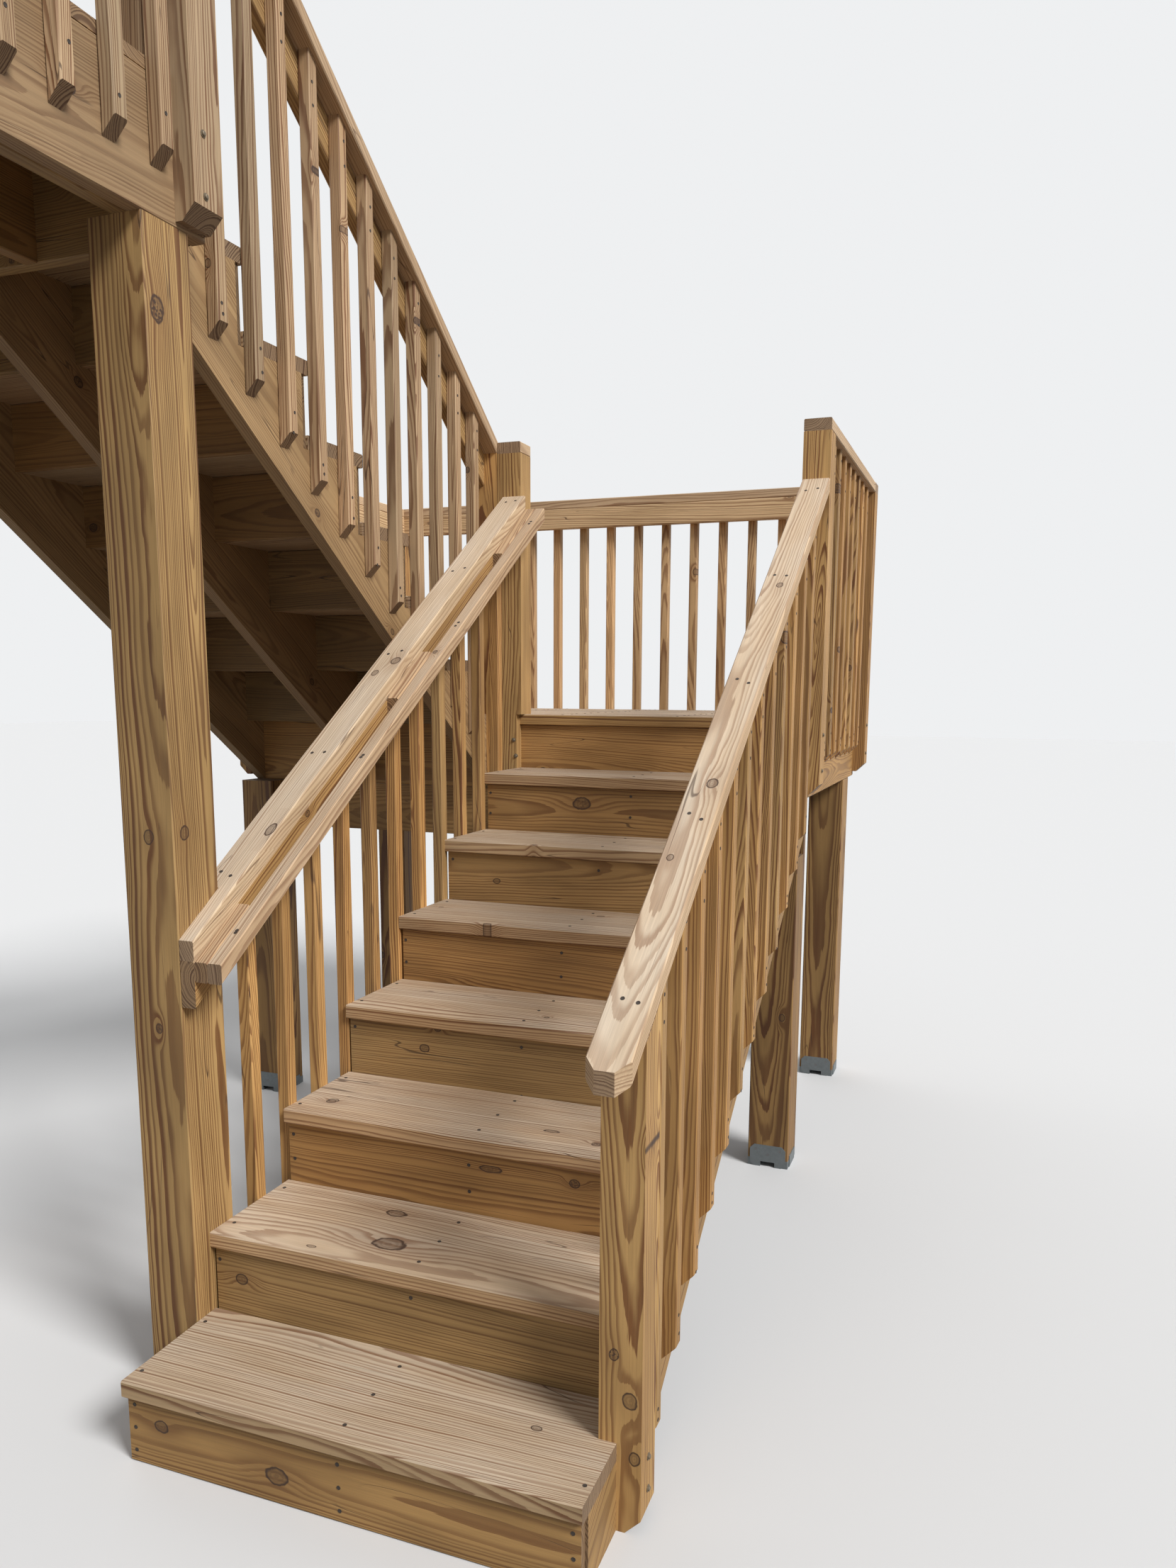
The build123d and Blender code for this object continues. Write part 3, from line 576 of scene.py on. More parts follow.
def place_group(tree, name, values):
    """Outputs of a shader group that is placed in a material with values of its own."""
    node = tree.nodes.new("ShaderNodeGroup")
    node.node_tree = bpy.data.node_groups[name]
    for label, value in values.items():
        wire(node.inputs[label], value)
    return node.outputs


def turned_grain(point, grain, centre, cell):
    """Grain, centre and spacing of a node whose last board lies behind a plane, across the others."""
    front, back, plane, back_centre = grain
    behind = even(point.parts()[1].above(plane))
    labels = ("Along", "Across", "Through", "Centre", "Cell")
    pairs = zip((*front, centre, cell), (*back, back_centre, Vector((FAR, FAR, FAR))))
    values = {}
    for label, (before, after) in zip(labels, pairs):
        values[label] = behind * tuple(after - before) + tuple(before)
    return values


def metal_material(name, colour, rough, metallic):
    """Folded or coated metal with a faint mottle."""
    material, tree, shader = new_material(name)
    mottle = noise(Point(tree.nodes.new("ShaderNodeTexCoord").outputs["Object"]).scaled(90.0), 3.0)[0]
    dark = tuple(part * 0.72 for part in colour) + (1,)
    bright = tuple(min(part * 1.2, 1) for part in colour) + (1,)
    wire(shader["Base Color"], mix(mottle, dark, bright))
    wire(shader["Roughness"], mottle * 0.3 + rough)
    shader["Metallic"].default_value = metallic
    return material


def dress(node, material):
    """Put a material on a node of the frame."""
    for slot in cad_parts[node].material_slots:
        slot.material = material


def box(node):
    """Lowest and highest corner of a node, as vectors."""
    low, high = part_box(node)
    return Vector(low), Vector(high)


def ends(low, high, size):
    """Middles of the first and the last board of a row."""
    return low + size / 2, high - size / 2


def rows(node, sizes, counts):
    """Centre of the first board of a node, and the distance from board to board on each axis."""
    low, high = box(node)
    centre = (low + high) / 2
    cell = Vector((FAR, FAR, FAR))
    for axis, (size, count) in enumerate(zip(sizes, counts)):
        if count > 1:
            centre[axis] = low[axis] + size / 2
            cell[axis] = (high[axis] - low[axis] - size) / (count - 1)
    return centre, cell


def sloping(slope):
    """Grain of rails on a slope: one lying flat, and one standing on its edge."""
    along = Vector((0, 1, slope)).normalized()
    normal = Vector((0, -along.z, along.y))
    return (along, X, normal), (along, normal, X)


def knots(facing, *facts):
    """Knots that run one way through their boards, as place, radius, stretch, way and share of bark."""
    return [((x, y, z), radius, stretch, facing, bark) for x, y, z, radius, stretch, bark in facts]


# Knots that stand out, each with its place, radius, stretch along the grain and how much bark it holds
PLACED_KNOTS = {
    "lower_tread_1": knots(Z, (1.007, -0.972, 0.19, 0.008, 1.5, 0.2)),
    "lower_tread_2": knots(
        Z,
        (0.48, -0.606, 0.385, 0.015, 1.9, 0.0),
        (0.541, -0.745, 0.385, 0.025, 1.7, 0.0),
        (0.381, -0.818, 0.385, 0.006, 2.2, 0.3),
    ),
    "lower_tread_3": knots(Z, (0.207, -0.449, 0.58, 0.011, 1.4, 0.2), (0.818, -0.436, 0.58, 0.008, 2.5, 0.4)),
    "lower_risers": knots(
        Y,
        (0.214, -1.1337, 0.099, 0.014, 1.3, 0.1),
        (0.501, -1.1337, 0.062, 0.020, 1.35, 0.0),
        (0.361, -0.238, 0.675, 0.012, 1.2, 0.5),
        (0.700, -0.537, 0.505, 0.009, 3.2, 0.6),
        (0.476, 0.657, 1.267, 0.020, 1.6, 0.7),
        (0.30, 0.359, 1.04, 0.009, 1.4, 0.2),
    ),
    "newel_post": knots(
        Y,
        (1.1635, -0.9577, 0.377, 0.010, 1.3, 1.0),
        (1.197, -0.9577, 0.2855, 0.015, 1.2, 0.5),
        (1.208, -0.9577, 0.165, 0.012, 1.3, 0.2),
    ),
    "deck_support_posts": [
        *knots(X, (0.1215, -0.8645, 1.33, 0.014, 1.2, 0.2), (0.1215, -0.8679, 2.412, 0.020, 1.4, 1.0)),
        *knots(Y, (0.055, -0.8998, 1.321, 0.013, 1.2, 0.3)),
    ],
    "lower_rail_caps": knots(
        Z,
        (1.182, 0.35, 1.938, 0.010, 1.4, 0.3),
        (1.189, -0.39, 1.44, 0.014, 1.2, 0.0),
        (1.155, -0.60, 1.30, 0.008, 1.3, 0.3),
        (0.144, -0.587, 1.307, 0.012, 2.0, 0.2),
        (0.10, -0.02, 1.69, 0.010, 1.5, 0.3),
    ),
    "lower_right_pickets": knots(
        X, (1.2218, -0.595, 0.418, 0.011, 1.6, 1.0), (1.2218, -0.617, 0.785, 0.009, 1.4, 0.3)),
}
# Shade of the first two lower treads: partly their own tone and partly painted light. The first is darkened
# as painted shade, and the second is brightened as painted light against the shadow that falls on it.
LOWER_TREAD_TONES_AND_PAINTED_LIGHT = {1: 0.90, 2: 1.12}


def dress_boards(table):
    """Give each listed node lumber of its own."""
    for index, (node, (grain, sizes, counts, look)) in enumerate(table.items()):
        look = dict(look)
        centre, cell = rows(node, sizes, counts)
        for axis, place in look.pop("first", {}).items():
            centre[axis] = place
        rise = look.pop("rise", 0.0)
        seed = index * 3.7 + len(node)
        dress(node, lumber_material(node + "_wood", grain, seed, centre, cell, rise, **look))


class TreadsOperator(bpy.types.Operator):
    """Finish the treads, risers and stringers"""

    bl_idname = "deckstairs.treads"
    bl_label = "Treads, Risers and Stringers"

    def execute(self, context):
        tread = dict(
            weather=0.92, bleach=0.4, pith_depth=0.11, pith_side=0.32, knots=0.3, contrast=1.0,
            ring_gap=0.0062, shade=0.97)
        # Lower risers: shade 0.84 is partly their own tone and partly painted shade for faces turned away
        # from the light.
        lower_riser = dict(
            rise=LOWER_RISE, first={2: box("lower_risers")[0].z + LOWER_RISE / 2}, shade=0.84,
            pith_depth=0.08, pith_side=0.12, contrast=0.85, placed=PLACED_KNOTS["lower_risers"])
        # Upper risers: shade 0.62 is painted shade for the dark space under the stairs.
        upper_riser = dict(
            rise=-UPPER_RISE, first={2: box("upper_risers")[1].z - UPPER_RISE / 2}, shade=0.62,
            pith_depth=0.08, knots=0.4, contrast=0.6)
        lower_stringer = dict(pith_depth=0.12, pith_side=0.15, shade=0.85, contrast=0.7)
        # Upper stringers: shade 0.78 is painted shade for the dark space under the stairs.
        upper_stringer = dict(
            pith_depth=0.12, pith_side=0.2, shade=0.78, bleach=0.2, contrast=0.65, ring_gap=0.005)
        rises = ((0, RISER, 0), (1, RISERS, 1))
        threes = ((BOARD, 0, 0), (3, 1, 1))
        table = {}
        for flight, count in TREADS.items():
            for index in range(1, count + 1):
                node = f"{flight}_tread_{index}"
                look = dict(tread, placed=PLACED_KNOTS.get(node, ()))
                if flight == "lower":
                    look["shade"] = LOWER_TREAD_TONES_AND_PAINTED_LIGHT.get(index, tread["shade"])
                table[node] = (FLAT_X, NONE, ONE, look)
        table["lower_risers"] = (EDGE_X, *rises, lower_riser)
        table["upper_risers"] = (EDGE_X, *rises, upper_riser)
        table["lower_stringers"] = (sloping(LOWER_PITCH)[1], *threes, lower_stringer)
        table["upper_stringers"] = (sloping(UPPER_PITCH)[1], *threes, upper_stringer)
        dress_boards(table)
        return {"FINISHED"}


class DecksOperator(bpy.types.Operator):
    """Finish the decking, rims and joists of the landing and the deck"""

    bl_idname = "deckstairs.decks"
    bl_label = "Landing and Deck"

    def execute(self, context):
        last_plank = box("landing_decking")[1].y - LANDING_PLANK / 2
        frame_look = dict(
            pith_depth=0.12, pith_side=0.15, shade=0.8, knots=0.35, contrast=0.7, ring_gap=0.005)
        rim = ((BOARD, 0, 0), (2, 1, 1))
        cross = ((0, BOARD, 0), (1, 2, 1))
        joists = ((BOARD, 0, 0), (4, 1, 1))
        table = {
            "landing_decking": (
                FLAT_X, (0, LANDING_PLANK, 0), (1, 9, 1), dict(weather=0.8, first={1: last_plank})),
            "deck_decking": (FLAT_X, (0, DECK_PLANK, 0), (1, 11, 1), dict(weather=0.8)),
            "landing_side_rims": (EDGE_Y, *rim, frame_look),
            "deck_side_rims": (EDGE_Y, *rim, dict(frame_look, shade=0.72, bleach=0.35)),
            "landing_cross_rims": (EDGE_X, *cross, frame_look),
            "deck_cross_rims": (EDGE_X, *cross, frame_look),
            "landing_joists": (EDGE_Y, *joists, frame_look),
            "deck_joists": (EDGE_Y, *joists, frame_look),
            "stringer_hanger_board": (EDGE_X, NONE, ONE, frame_look),
        }
        dress_boards(table)
        return {"FINISHED"}


class PostsOperator(bpy.types.Operator):
    """Finish the support posts, guard posts and newel"""

    bl_idname = "deckstairs.posts"
    bl_label = "Posts"

    def execute(self, context):
        square = dict(
            pith_side=0.05, pith_depth=0.05, knots=0.25, ring_gap=0.0062, contrast=1.25, bleach=0.12)
        guard = dict(pith_side=0.04, pith_depth=0.05, knots=0.25, contrast=1.1, ring_gap=0.0055)
        big = ((BIG_POST, BIG_POST, 0), (2, 2, 1))
        small = ((POST, POST, 0), (2, 2, 1))
        table = {
            # Landing support posts: shade 0.7 is painted shade, as they stand under the landing.
            "landing_support_posts": (UPRIGHT, *big, dict(square, shade=0.7, bleach=0.0)),
            "deck_support_posts": (UPRIGHT, *big, dict(
                square, shade=1.08, bleach=0.0, placed=PLACED_KNOTS["deck_support_posts"])),
            "landing_corner_posts": (UPRIGHT, *small, guard),
            "deck_guard_posts": (UPRIGHT, *small, dict(guard, bleach=0.55, shade=0.9)),
            "landing_head_posts": (UPRIGHT, (POST, 0, 0), (2, 1, 1), guard),
            "newel_post": (UPRIGHT, NONE, ONE, dict(guard, placed=PLACED_KNOTS["newel_post"])),
        }
        dress_boards(table)
        return {"FINISHED"}


class RailsOperator(bpy.types.Operator):
    """Finish the caps, sub-rails and handrail"""

    bl_idname = "deckstairs.rails"
    bl_label = "Rails and Caps"

    def execute(self, context):
        lower_flat, lower_edge = sloping(LOWER_RAIL)
        upper_flat, upper_edge = sloping(UPPER_PITCH)
        # Caps: shade 1.2 is partly sun bleaching and partly painted light on their sunlit tops.
        cap = dict(
            weather=1.0, bleach=0.6, pith_depth=0.07, pith_side=0.28, shade=1.2, contrast=0.7, ring_gap=0.005)
        rail = dict(pith_depth=0.06, knots=0.3)
        # Landing back rail: shade 1.7 is painted light, as if lit strongly from the front.
        landing_rail = dict(rail, shade=1.7, bleach=0.4, pith_side=0.14, pith_depth=0.12)
        caps = ((POST, 0, 0), (2, 1, 1))
        edges = ((BOARD, 0, 0), (2, 1, 1))
        low, high = box("landing_subrails")
        back_centre = Vector(((low.x + high.x) / 2, high.y - BOARD / 2, (low.z + high.z) / 2))
        turned = (EDGE_Y, EDGE_X, high.y - BOARD - 0.0001, back_centre)
        table = {
            "lower_rail_caps": (lower_flat, *caps, dict(cap, placed=PLACED_KNOTS["lower_rail_caps"])),
            "lower_subrails": (lower_edge, *edges, rail),
            "handrail": (lower_flat, NONE, ONE, dict(cap, weather=0.85, shade=1.0)),
            "handrail_spacers": (lower_flat, NONE, ONE, rail),
            "upper_rail_caps": (upper_flat, *caps, cap),
            "upper_subrails": (upper_edge, *edges, rail),
            "landing_side_caps": (FLAT_Y, *caps, cap),
            # Landing back cap: shade 1.25 is painted light, like the back rail below it.
            "landing_back_cap": (FLAT_X, NONE, ONE, dict(cap, shade=1.25)),
            "landing_subrails": (turned, *edges, landing_rail),
            "deck_subrails": (EDGE_Y, *edges, rail),
            "deck_rail_caps": (FLAT_Y, *caps, cap),
        }
        dress_boards(table)
        return {"FINISHED"}


def guard_slope(node):
    """Slope of the guard that a node belongs to."""
    return GUARD_SLOPES.get(node.split("_")[0], 0.0)


class PicketsOperator(bpy.types.Operator):
    """Finish the pickets of every guard"""

    bl_idname = "deckstairs.pickets"
    bl_label = "Pickets"

    def execute(self, context):
        look = dict(pith_side=0.06, pith_depth=0.06, knots=0.22, ring_gap=0.005, contrast=1.1)
        table = {}
        for node, count in PICKET_COUNTS.items():
            own = dict(look)
            if node == "landing_back_pickets":
                # Landing back pickets: shade 1.35 is painted light, like the back rail.
                own.update(shade=1.35, bleach=0.3)
                table[node] = (UPRIGHT, (PICKET, 0, 0), (count, 1, 1), own)
                continue
            low, high = box(node)
            own["rise"] = guard_slope(node) * (high.y - low.y - PICKET) / (count - 1)
            if node in ("deck_right_pickets", "upper_right_pickets"):
                own.update(bleach=0.5, knots=0.32)
            own["placed"] = PLACED_KNOTS.get(node, ())
            table[node] = (UPRIGHT, (0, PICKET, 0), (1, count, 1), own)
        dress_boards(table)
        return {"FINISHED"}


def start_head(sides, radius, depth, top):
    """A disc whose upper face stands a little proud of its place, and is picked in edit mode."""
    bpy.ops.object.select_all(action="DESELECT")
    bpy.ops.mesh.primitive_cylinder_add(
        vertices=sides, radius=radius, depth=depth, location=(0, 0, top - depth / 2))
    head = bpy.context.object
    bpy.ops.object.mode_set(mode="EDIT")
    bpy.ops.mesh.select_mode(type="FACE")
    bpy.ops.mesh.select_all(action="DESELECT")
    bpy.ops.object.mode_set(mode="OBJECT")
    for face in head.data.polygons:
        face.select = face.normal.z > 0.9
    bpy.ops.object.mode_set(mode="EDIT")
    return head


def finish_head(head):
    """Leave edit mode, and move the head's place into its mesh."""
    bpy.ops.object.mode_set(mode="OBJECT")
    bpy.ops.object.transform_apply(location=True, rotation=True, scale=True)
    return head


def model_screw(radius):
    """A flat screw head with a sunk drive."""
    head = start_head(8, radius, SCREW_DEPTH, SCREW_TOP)
    bpy.ops.mesh.inset(thickness=radius * 0.5)
    bpy.ops.transform.translate(value=(0, 0, -DRIVE_DEPTH))
    return finish_head(head)


def model_bolt(radius):
    """A low domed bolt head on a washer."""
    head = start_head(12, radius * 1.45, WASHER_DEPTH, WASHER_TOP)
    bpy.ops.mesh.inset(thickness=radius * 0.45)
    bpy.ops.mesh.extrude_region_move(TRANSFORM_OT_translate={"value": (0, 0, BOLT_HEIGHT)})
    bpy.ops.mesh.inset(thickness=radius * 0.3)
    bpy.ops.transform.translate(value=(0, 0, BOLT_DOME))
    return finish_head(head)


def set_out(name, model, places, material):
    """Copy a modelled head to each place and direction, and join the copies into one piece."""
    copies = []
    for place, normal in places:
        turn = Vector(normal).to_track_quat("Z", "Y").to_matrix().to_4x4()
        head = model.copy()
        head.data = model.data.copy()
        head.data.transform(Matrix.Translation(place) @ turn)
        bpy.context.collection.objects.link(head)
        copies.append(head)
    bpy.data.objects.remove(model)
    bpy.ops.object.select_all(action="DESELECT")
    for head in copies:
        head.select_set(True)
    bpy.context.view_layer.objects.active = copies[0]
    bpy.ops.object.join()
    piece = bpy.context.object
    piece.name = name
    piece.data.materials.clear()
    piece.data.materials.append(material)
    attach(piece, "root")


def stray(index, amount=0.004):
    """A small offset, as by hand, that is the same on each run."""
    return amount * sin(index * 12.9898 + 4.1)


def tread_screws(flight, count):
    """Places of the screws in the treads of a flight, without those that the newel would cover."""
    places = []
    newel_low, newel_high = box("newel_post")
    for index in range(count):
        low, high = box(f"{flight}_tread_{index + 1}")
        left, right = ends(low.x, high.x, BOARD)
        for column, x in enumerate((left, (low.x + high.x) / 2, right)):
            for row, share in enumerate((0.17, 0.5, 0.83)):
                if row == 1 and column != 1:
                    continue
                key = index * 9 + column * 3 + row
                y = low.y + share * (high.y - low.y) + stray(key, 0.008)
                under_newel = x > newel_low.x and newel_low.y - 0.01 < y < newel_high.y + 0.01
                if not (flight == "lower" and index == 0 and under_newel):
                    places.append(((x + stray(key + 1), y, high.z), Z))
    return places


def riser_screws(flight):
    """Places of the screws in the risers of a flight."""
    places = []
    low, high = box(f"{flight}_risers")
    run = (high.y - low.y - RISER) / (RISERS - 1)
    inset = BOARD / 2 - 0.006
    for index in range(RISERS):
        if flight == "lower":
            front = low.y + index * run
            normal = -Y
            head = FIRST_RISER_TOP + index * LOWER_RISE
            foot = head - LOWER_RISE if index else 0.0
        else:
            front = low.y + index * run + RISER
            normal = Y
            foot = high.z - TOP_RISER_LAP - (index + 1) * UPPER_RISE
            head = foot + UPPER_RISE if index else high.z
        for column, x in enumerate((low.x + inset, (low.x + high.x) / 2, high.x - inset)):
            for row, share in enumerate((0.15, 0.5, 0.85)):
                if row == 1 and index % 2:
                    continue
                key = RISER_KEYS + index * 9 + column * 3 + row
                z = foot + share * (head - foot)
                places.append(((x + stray(key), front, z + stray(key + 1, 0.006)), normal))
    return places


def plank_screws(decking, joists, width, count):
    """Places of the screws in the planks of a deck, over its rims and joists."""
    places = []
    low, high = box(decking)
    joist_low, joist_high = box(joists)
    gap = (joist_high.x - joist_low.x - BOARD) / (JOISTS - 1)
    left, right = ends(low.x, high.x, BOARD)
    columns = [left, *(joist_low.x + BOARD / 2 + joist * gap for joist in range(JOISTS)), right]
    for index in range(count):
        back = high.y - index * (width + PLANK_GAP)
        for column, x in enumerate(columns):
            for row, y in enumerate((back - PLANK_EDGE, back - width + PLANK_EDGE)):
                key = PLANK_KEYS + index * 12 + column * 2 + row
                if not standing_post(x, y, high.z):
                    places.append(((x + stray(key), y + stray(key + 1), high.z), Z))
    return places


def standing_post(x, y, z):
    """Whether a guard post stands on the planks at a point."""
    for node in ("landing_corner_posts", "landing_head_posts", "deck_guard_posts"):
        low, high = box(node)
        if not low.z < z < high.z:
            continue
        for left in (low.x - POST_CLEAR, high.x - POST - POST_CLEAR):
            for near in (low.y - POST_CLEAR, high.y - POST - POST_CLEAR):
                if 0 < x - left < POST + 2 * POST_CLEAR and 0 < y - near < POST + 2 * POST_CLEAR:
                    return True
    return False


def board_screws():
    """Places of the screws in treads, risers and planks."""
    places = []
    for flight, count in TREADS.items():
        places += tread_screws(flight, count)
        places += riser_screws(flight)
    places += plank_screws("landing_decking", "landing_joists", LANDING_PLANK, 8)
    places += plank_screws("deck_decking", "deck_joists", DECK_PLANK, 11)
    return places


def picket_screws():
    """Places of the screws at the foot and head of every picket."""
    places = []
    for guard, (node, count) in enumerate(PICKET_COUNTS.items()):
        low, high = box(node)
        axis = 0 if "back" in node else 1
        pitch = (high[axis] - low[axis] - PICKET) / (count - 1)
        slope = guard_slope(node)
        climb = slope * pitch
        length = high.z - low.z - abs(climb) * (count - 1) - abs(slope) * PICKET
        first = low.z if climb >= 0 else high.z - abs(slope) * PICKET - length
        for index in range(count):
            foot = first + index * climb
            heights = [foot + PICKET + 0.055, foot + length - 0.045, foot + length - 0.105]
            if not node.startswith("deck"):
                heights.append(foot + PICKET + 0.012)
            for row, z in enumerate(heights):
                key = guard * 97 + index * 5 + row
                middle = low[axis] + PICKET / 2 + index * pitch + stray(key, 0.006)
                z += stray(key + 2, 0.012 if row else 0.02)
                if "back" in node:
                    places.append(((middle, high.y, z), Y))
                elif "right" in node:
                    places.append(((high.x, middle, z), X))
                else:
                    places.append(((low.x, middle, z), -X))
    return places


def cap_screws():
    """Places of the screws along the tops of the caps and the handrail."""
    lower_up = sloping(LOWER_RAIL)[0][2]
    upper_up = sloping(UPPER_PITCH)[0][2]
    low, high = box("lower_rail_caps")
    left, right = ends(low.x, high.x, POST)
    rest = (high.y - 0.05, high.z, high.y, LOWER_RAIL, lower_up, 5, CAP_PAIR)
    runs = [(right, low.y + 0.12, *rest), (left, low.y + 0.36, *rest)]
    low, high = box("upper_rail_caps")
    for x in ends(low.x, high.x, POST):
        runs.append((x, low.y + 0.06, high.y - 0.08, high.z, low.y, UPPER_PITCH, upper_up, 5, CAP_PAIR))
    low, high = box("handrail")
    middle = (low.x + high.x) / 2
    runs.append((middle, low.y + 0.1, high.y - 0.1, high.z, high.y, LOWER_RAIL, lower_up, 4, 0.0))
    for node, count in (("landing_side_caps", 4), ("deck_rail_caps", 5)):
        low, high = box(node)
        for x in ends(low.x, high.x, POST):
            runs.append((x, low.y + 0.05, high.y - 0.05, high.z, 0.0, 0.0, Z, count, CAP_PAIR))
    places = []
    for run, (x, start, end, top, top_y, slope, normal, count, pair) in enumerate(runs):
        for index in range(count):
            for side in (-1, 1):
                key = CAP_KEYS + run * 20 + index * 2 + side
                y = start + index * (end - start) / (count - 1) + stray(key, 0.02)
                place = (x + side * pair + stray(key + 1, 0.003), y, top + slope * (y - top_y))
                places.append((place, normal))
    low, high = box("landing_back_cap")
    for index in range(6):
        for side in (-1, 1):
            x = low.x + 0.05 + index * (high.x - low.x - 0.1) / 5 + stray(index * 3 + side, 0.01)
            places.append(((x, (low.y + high.y) / 2 + side * BACK_CAP_PAIR, high.z), Z))
    return places


def bolt_places():
    """Places of the bolts that hold the guard posts to the rims and stringers."""
    places = []
    low, high = box("deck_guard_posts")
    for face, normal in ((high.x, X), (low.x, -X)):
        for y in (high.y - POST * 0.6, low.y + POST / 2):
            places += [((face, y, z), normal) for z in DECK_BOLTS]
    low, high = box("landing_corner_posts")
    for face, normal in ((high.x, X), (low.x, -X)):
        for z in LANDING_BOLTS:
            places += [((face, y, z), normal) for y in (low.y + POST / 2, high.y - POST * 0.62)]
            places.append(((face - normal.x * POST * 0.38, high.y, z - 0.03), Y))
    low, high = box("landing_head_posts")
    places += [((high.x - inset, low.y, z), -Y) for inset, z in RIGHT_HEAD_BOLTS]
    places += [((low.x + inset, low.y, z), -Y) for inset, z in LEFT_HEAD_BOLTS]
    low, high = box("newel_post")
    places += [((high.x, (low.y + high.y) / 2, z), X) for z in NEWEL_BOLTS]
    return places


def base_screws():
    """Places of three screws in the front and three in the back of each metal base."""
    places = []
    for node in ("landing_support_posts", "deck_support_posts"):
        low, high = box(node)
        for x in ends(low.x, high.x, BIG_POST):
            for y in ends(low.y, high.y, BIG_POST):
                for side in (-1, 1):
                    face = y + side * (BIG_POST / 2 + BASE_METAL)
                    places += [((x + across, face, z), Y * side) for across, z in BASE_SCREWS]
    return places


class ScrewsOperator(bpy.types.Operator):
    """Drive the screws of the treads, risers, decking, pickets and caps"""

    bl_idname = "deckstairs.screws"
    bl_label = "Screws"

    def execute(self, context):
        hardware = context.scene.deck_stairs_hardware
        steel = metal_material("screw_steel", tuple(hardware.screw_colour), 0.55, 0.0)
        set_out("board_screws", model_screw(hardware.screw_radius), board_screws(), steel)
        set_out("picket_screws", model_screw(hardware.screw_radius * 0.9), picket_screws(), steel)
        set_out("cap_screws", model_screw(hardware.screw_radius), cap_screws(), steel)
        return {"FINISHED"}


class BoltsOperator(bpy.types.Operator):
    """Fit the bolts of the guard posts"""

    bl_idname = "deckstairs.bolts"
    bl_label = "Bolts"

    def execute(self, context):
        hardware = context.scene.deck_stairs_hardware
        zinc = metal_material("bolt_zinc", BOLT_ZINC, 0.45, 0.5)
        set_out("post_bolts", model_bolt(hardware.bolt_radius), bolt_places(), zinc)
        return {"FINISHED"}


class BasesOperator(bpy.types.Operator):
    """Finish the metal bases of the support posts and screw them on"""

    bl_idname = "deckstairs.bases"
    bl_label = "Post Bases"

    def execute(self, context):
        hardware = context.scene.deck_stairs_hardware
        # The bases' colour holds painted shade besides the metal's own grey.
        metal = metal_material("base_metal", tuple(hardware.metal_colour_and_painted_shade), 0.35, 0.55)
        dress("post_bases", metal)
        zinc = metal_material("screw_zinc", BASE_SCREW_ZINC, 0.4, 0.6)
        set_out("base_screws", model_screw(BASE_SCREW_RADIUS), base_screws(), zinc)
        return {"FINISHED"}


def seen_directly(tree):
    """Mask of the rays by which a camera sees a surface, straight or in metal and glass."""
    path = tree.nodes.new("ShaderNodeLightPath").outputs
    camera, glossy, through = [Number(path[f"Is {ray} Ray"]) for ray in ("Camera", "Glossy", "Transmission")]
    return camera.larger(glossy).larger(through)


def lay_floor(stage):
    """A pale floor that throws back little light."""
    bpy.ops.object.select_all(action="DESELECT")
    bpy.ops.mesh.primitive_plane_add(size=FLOOR_SIZE)
    floor = bpy.context.object
    floor.name = "stage_floor"
    material, tree, shader = new_material("stage_floor")
    bounce = tuple(stage.floor_bounce) + (1,)
    wire(shader["Base Color"], mix(seen_directly(tree), bounce, tuple(stage.floor_colour) + (1,)))
    shader["Roughness"].default_value = 0.9
    shader["Specular IOR Level"].default_value = 0.0
    floor.data.materials.append(material)


def light_sky(stage):
    """An even sky, and the pale backdrop that the camera sees in its place."""
    scene = bpy.context.scene
    scene.world = scene.world or bpy.data.worlds.new("sky")
    scene.world.use_nodes = True
    tree = scene.world.node_tree
    tree.nodes.clear()
    light = add_node(tree, "ShaderNodeBackground", SKY_COLOUR, stage.sky).outputs[0]
    backdrop = add_node(tree, "ShaderNodeBackground", BACKDROP_COLOUR).outputs[0]
    choice = add_node(tree, "ShaderNodeMixShader", seen_directly(tree), Value(light), Value(backdrop))
    output = tree.nodes.new("ShaderNodeOutputWorld")
    wire(output.inputs["Surface"], Value(choice.outputs[0]))


def hang_lamp(name, place, strength, angle):
    """A soft far lamp that looks at the middle of the stairs."""
    bpy.ops.object.light_add(type="SUN", location=place)
    lamp = bpy.context.object
    lamp.name = name
    lamp.data.energy = strength
    lamp.data.angle = angle
    lamp.rotation_euler = (LAMP_AIM - lamp.location).to_track_quat("-Z", "Y").to_euler()


def place_camera(stage):
    """The camera, where the photo was taken from."""
    bpy.ops.object.camera_add(location=stage.eye, rotation=stage.turn)
    camera = bpy.context.object
    camera.data.sensor_width = 36.0
    camera.data.sensor_fit = "AUTO"
    camera.data.lens = stage.lens
    camera.data.shift_x = stage.shift_x
    camera.data.shift_y = stage.shift_y
    camera.data.clip_end = 200.0
    bpy.context.scene.camera = camera


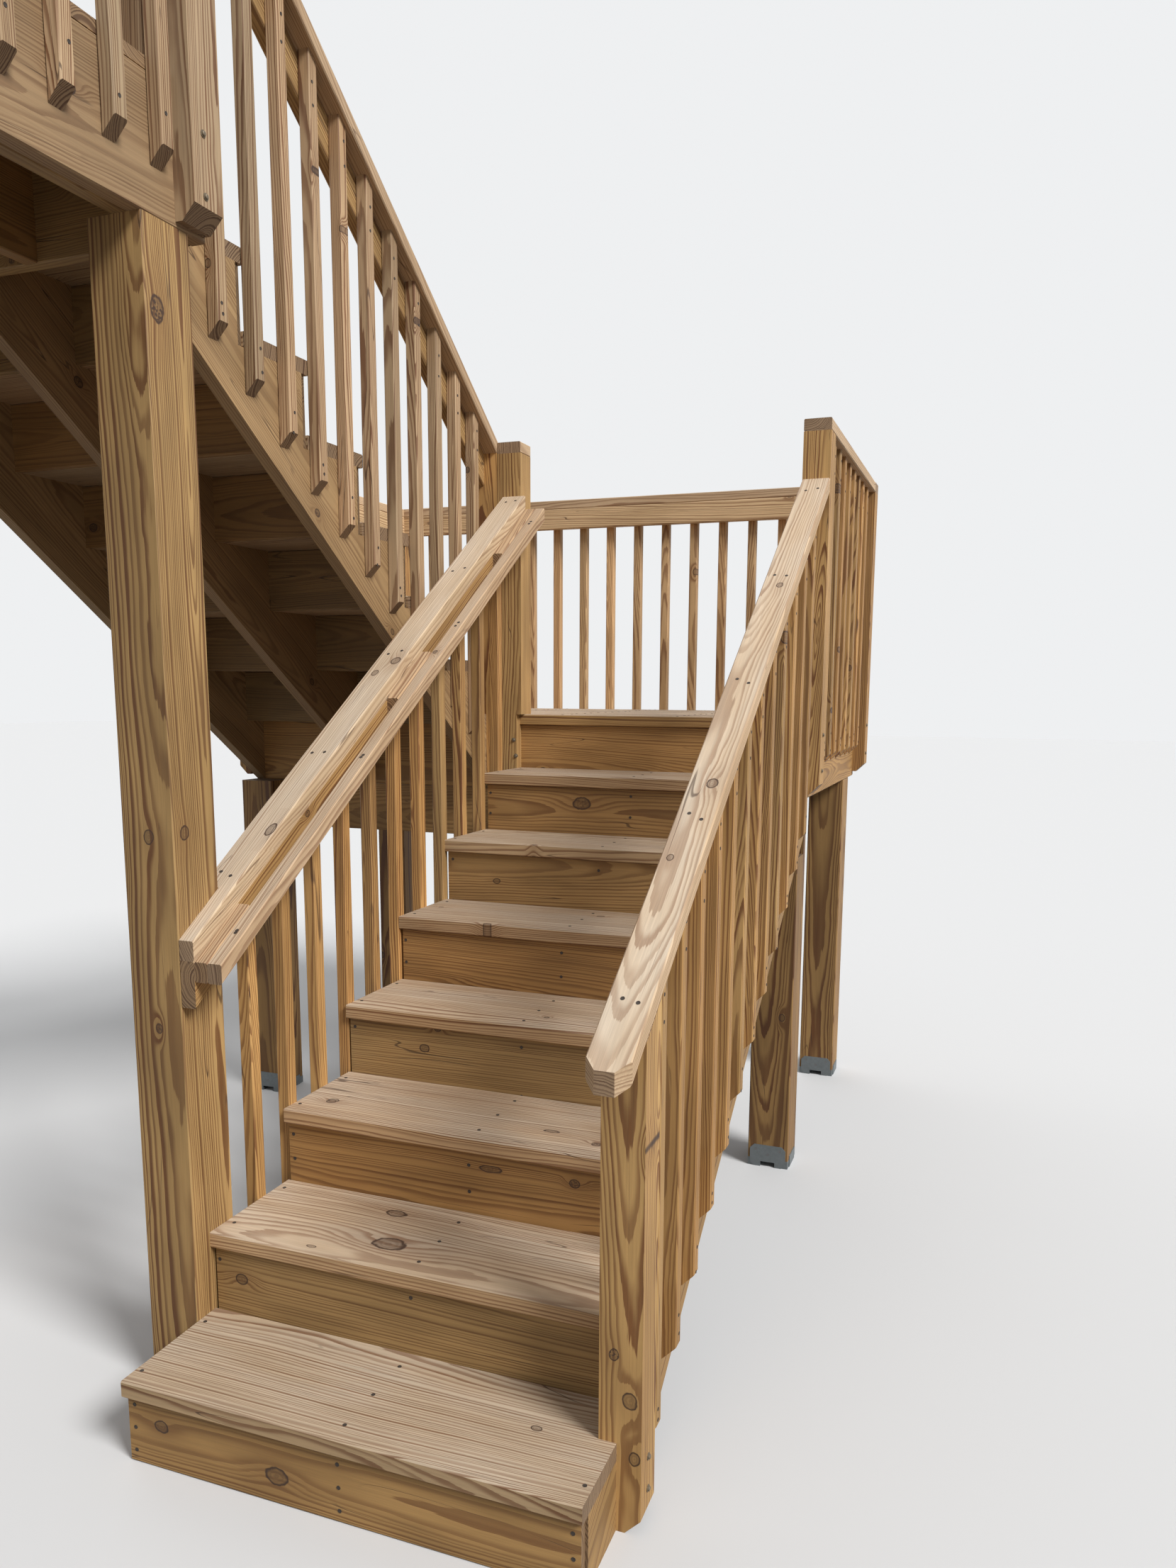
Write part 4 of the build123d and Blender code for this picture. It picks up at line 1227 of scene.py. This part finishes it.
class StageOperator(bpy.types.Operator):
    """Add the floor, the lamps, the sky and the camera"""

    bl_idname = "deckstairs.stage"
    bl_label = "Stage"

    def execute(self, context):
        stage = context.scene.deck_stairs_stage
        lay_floor(stage)
        light_sky(stage)
        hang_lamp("key_lamp", KEY_PLACE, stage.key, stage.softness)
        hang_lamp("fill_lamp", FILL_PLACE, stage.fill, stage.softness * 4)
        place_camera(stage)
        context.scene.view_settings.view_transform = "Standard"
        return {"FINISHED"}


OPERATORS = (
    TreadsOperator,
    DecksOperator,
    PostsOperator,
    RailsOperator,
    PicketsOperator,
    BasesOperator,
    ScrewsOperator,
    BoltsOperator,
    StageOperator,
)


class DeckStairsPanel(bpy.types.Panel):
    """Lists the steps that finish the deck stairs"""

    bl_idname = "VIEW3D_PT_deck_stairs"
    bl_label = "Wooden Deck Stairs"
    bl_space_type = "VIEW_3D"
    bl_region_type = "UI"
    bl_category = "Deck Stairs"

    def draw(self, context):
        layout = self.layout
        for operator in OPERATORS:
            layout.operator(operator.bl_idname)
        for group in (context.scene.deck_stairs_lumber, context.scene.deck_stairs_hardware,
                      context.scene.deck_stairs_stage):
            column = layout.box().column()
            for name in group.__annotations__:
                column.prop(group, name)


SETTINGS = {
    "deck_stairs_lumber": LumberSettings,
    "deck_stairs_hardware": HardwareSettings,
    "deck_stairs_stage": StageSettings,
}


def register():
    """Register the settings, operators and panel."""
    for name, settings in SETTINGS.items():
        bpy.utils.register_class(settings)
        setattr(bpy.types.Scene, name, bpy.props.PointerProperty(type=settings))
    for operator in OPERATORS:
        bpy.utils.register_class(operator)
    bpy.utils.register_class(DeckStairsPanel)


def unregister():
    """Take the panel, operators and settings away again."""
    bpy.utils.unregister_class(DeckStairsPanel)
    for operator in reversed(OPERATORS):
        bpy.utils.unregister_class(operator)
    for name, settings in SETTINGS.items():
        delattr(bpy.types.Scene, name)
        bpy.utils.unregister_class(settings)


def main():
    """Dress the frame piece by piece and set up its stage."""
    register()
    build_knot_group()
    build_lumber_group()
    bpy.ops.deckstairs.treads()
    bpy.ops.deckstairs.decks()
    bpy.ops.deckstairs.posts()
    bpy.ops.deckstairs.rails()
    bpy.ops.deckstairs.pickets()
    bpy.ops.deckstairs.bases()
    bpy.ops.deckstairs.screws()
    bpy.ops.deckstairs.bolts()
    bpy.ops.deckstairs.stage()


if __name__ == "__main__":
    main()
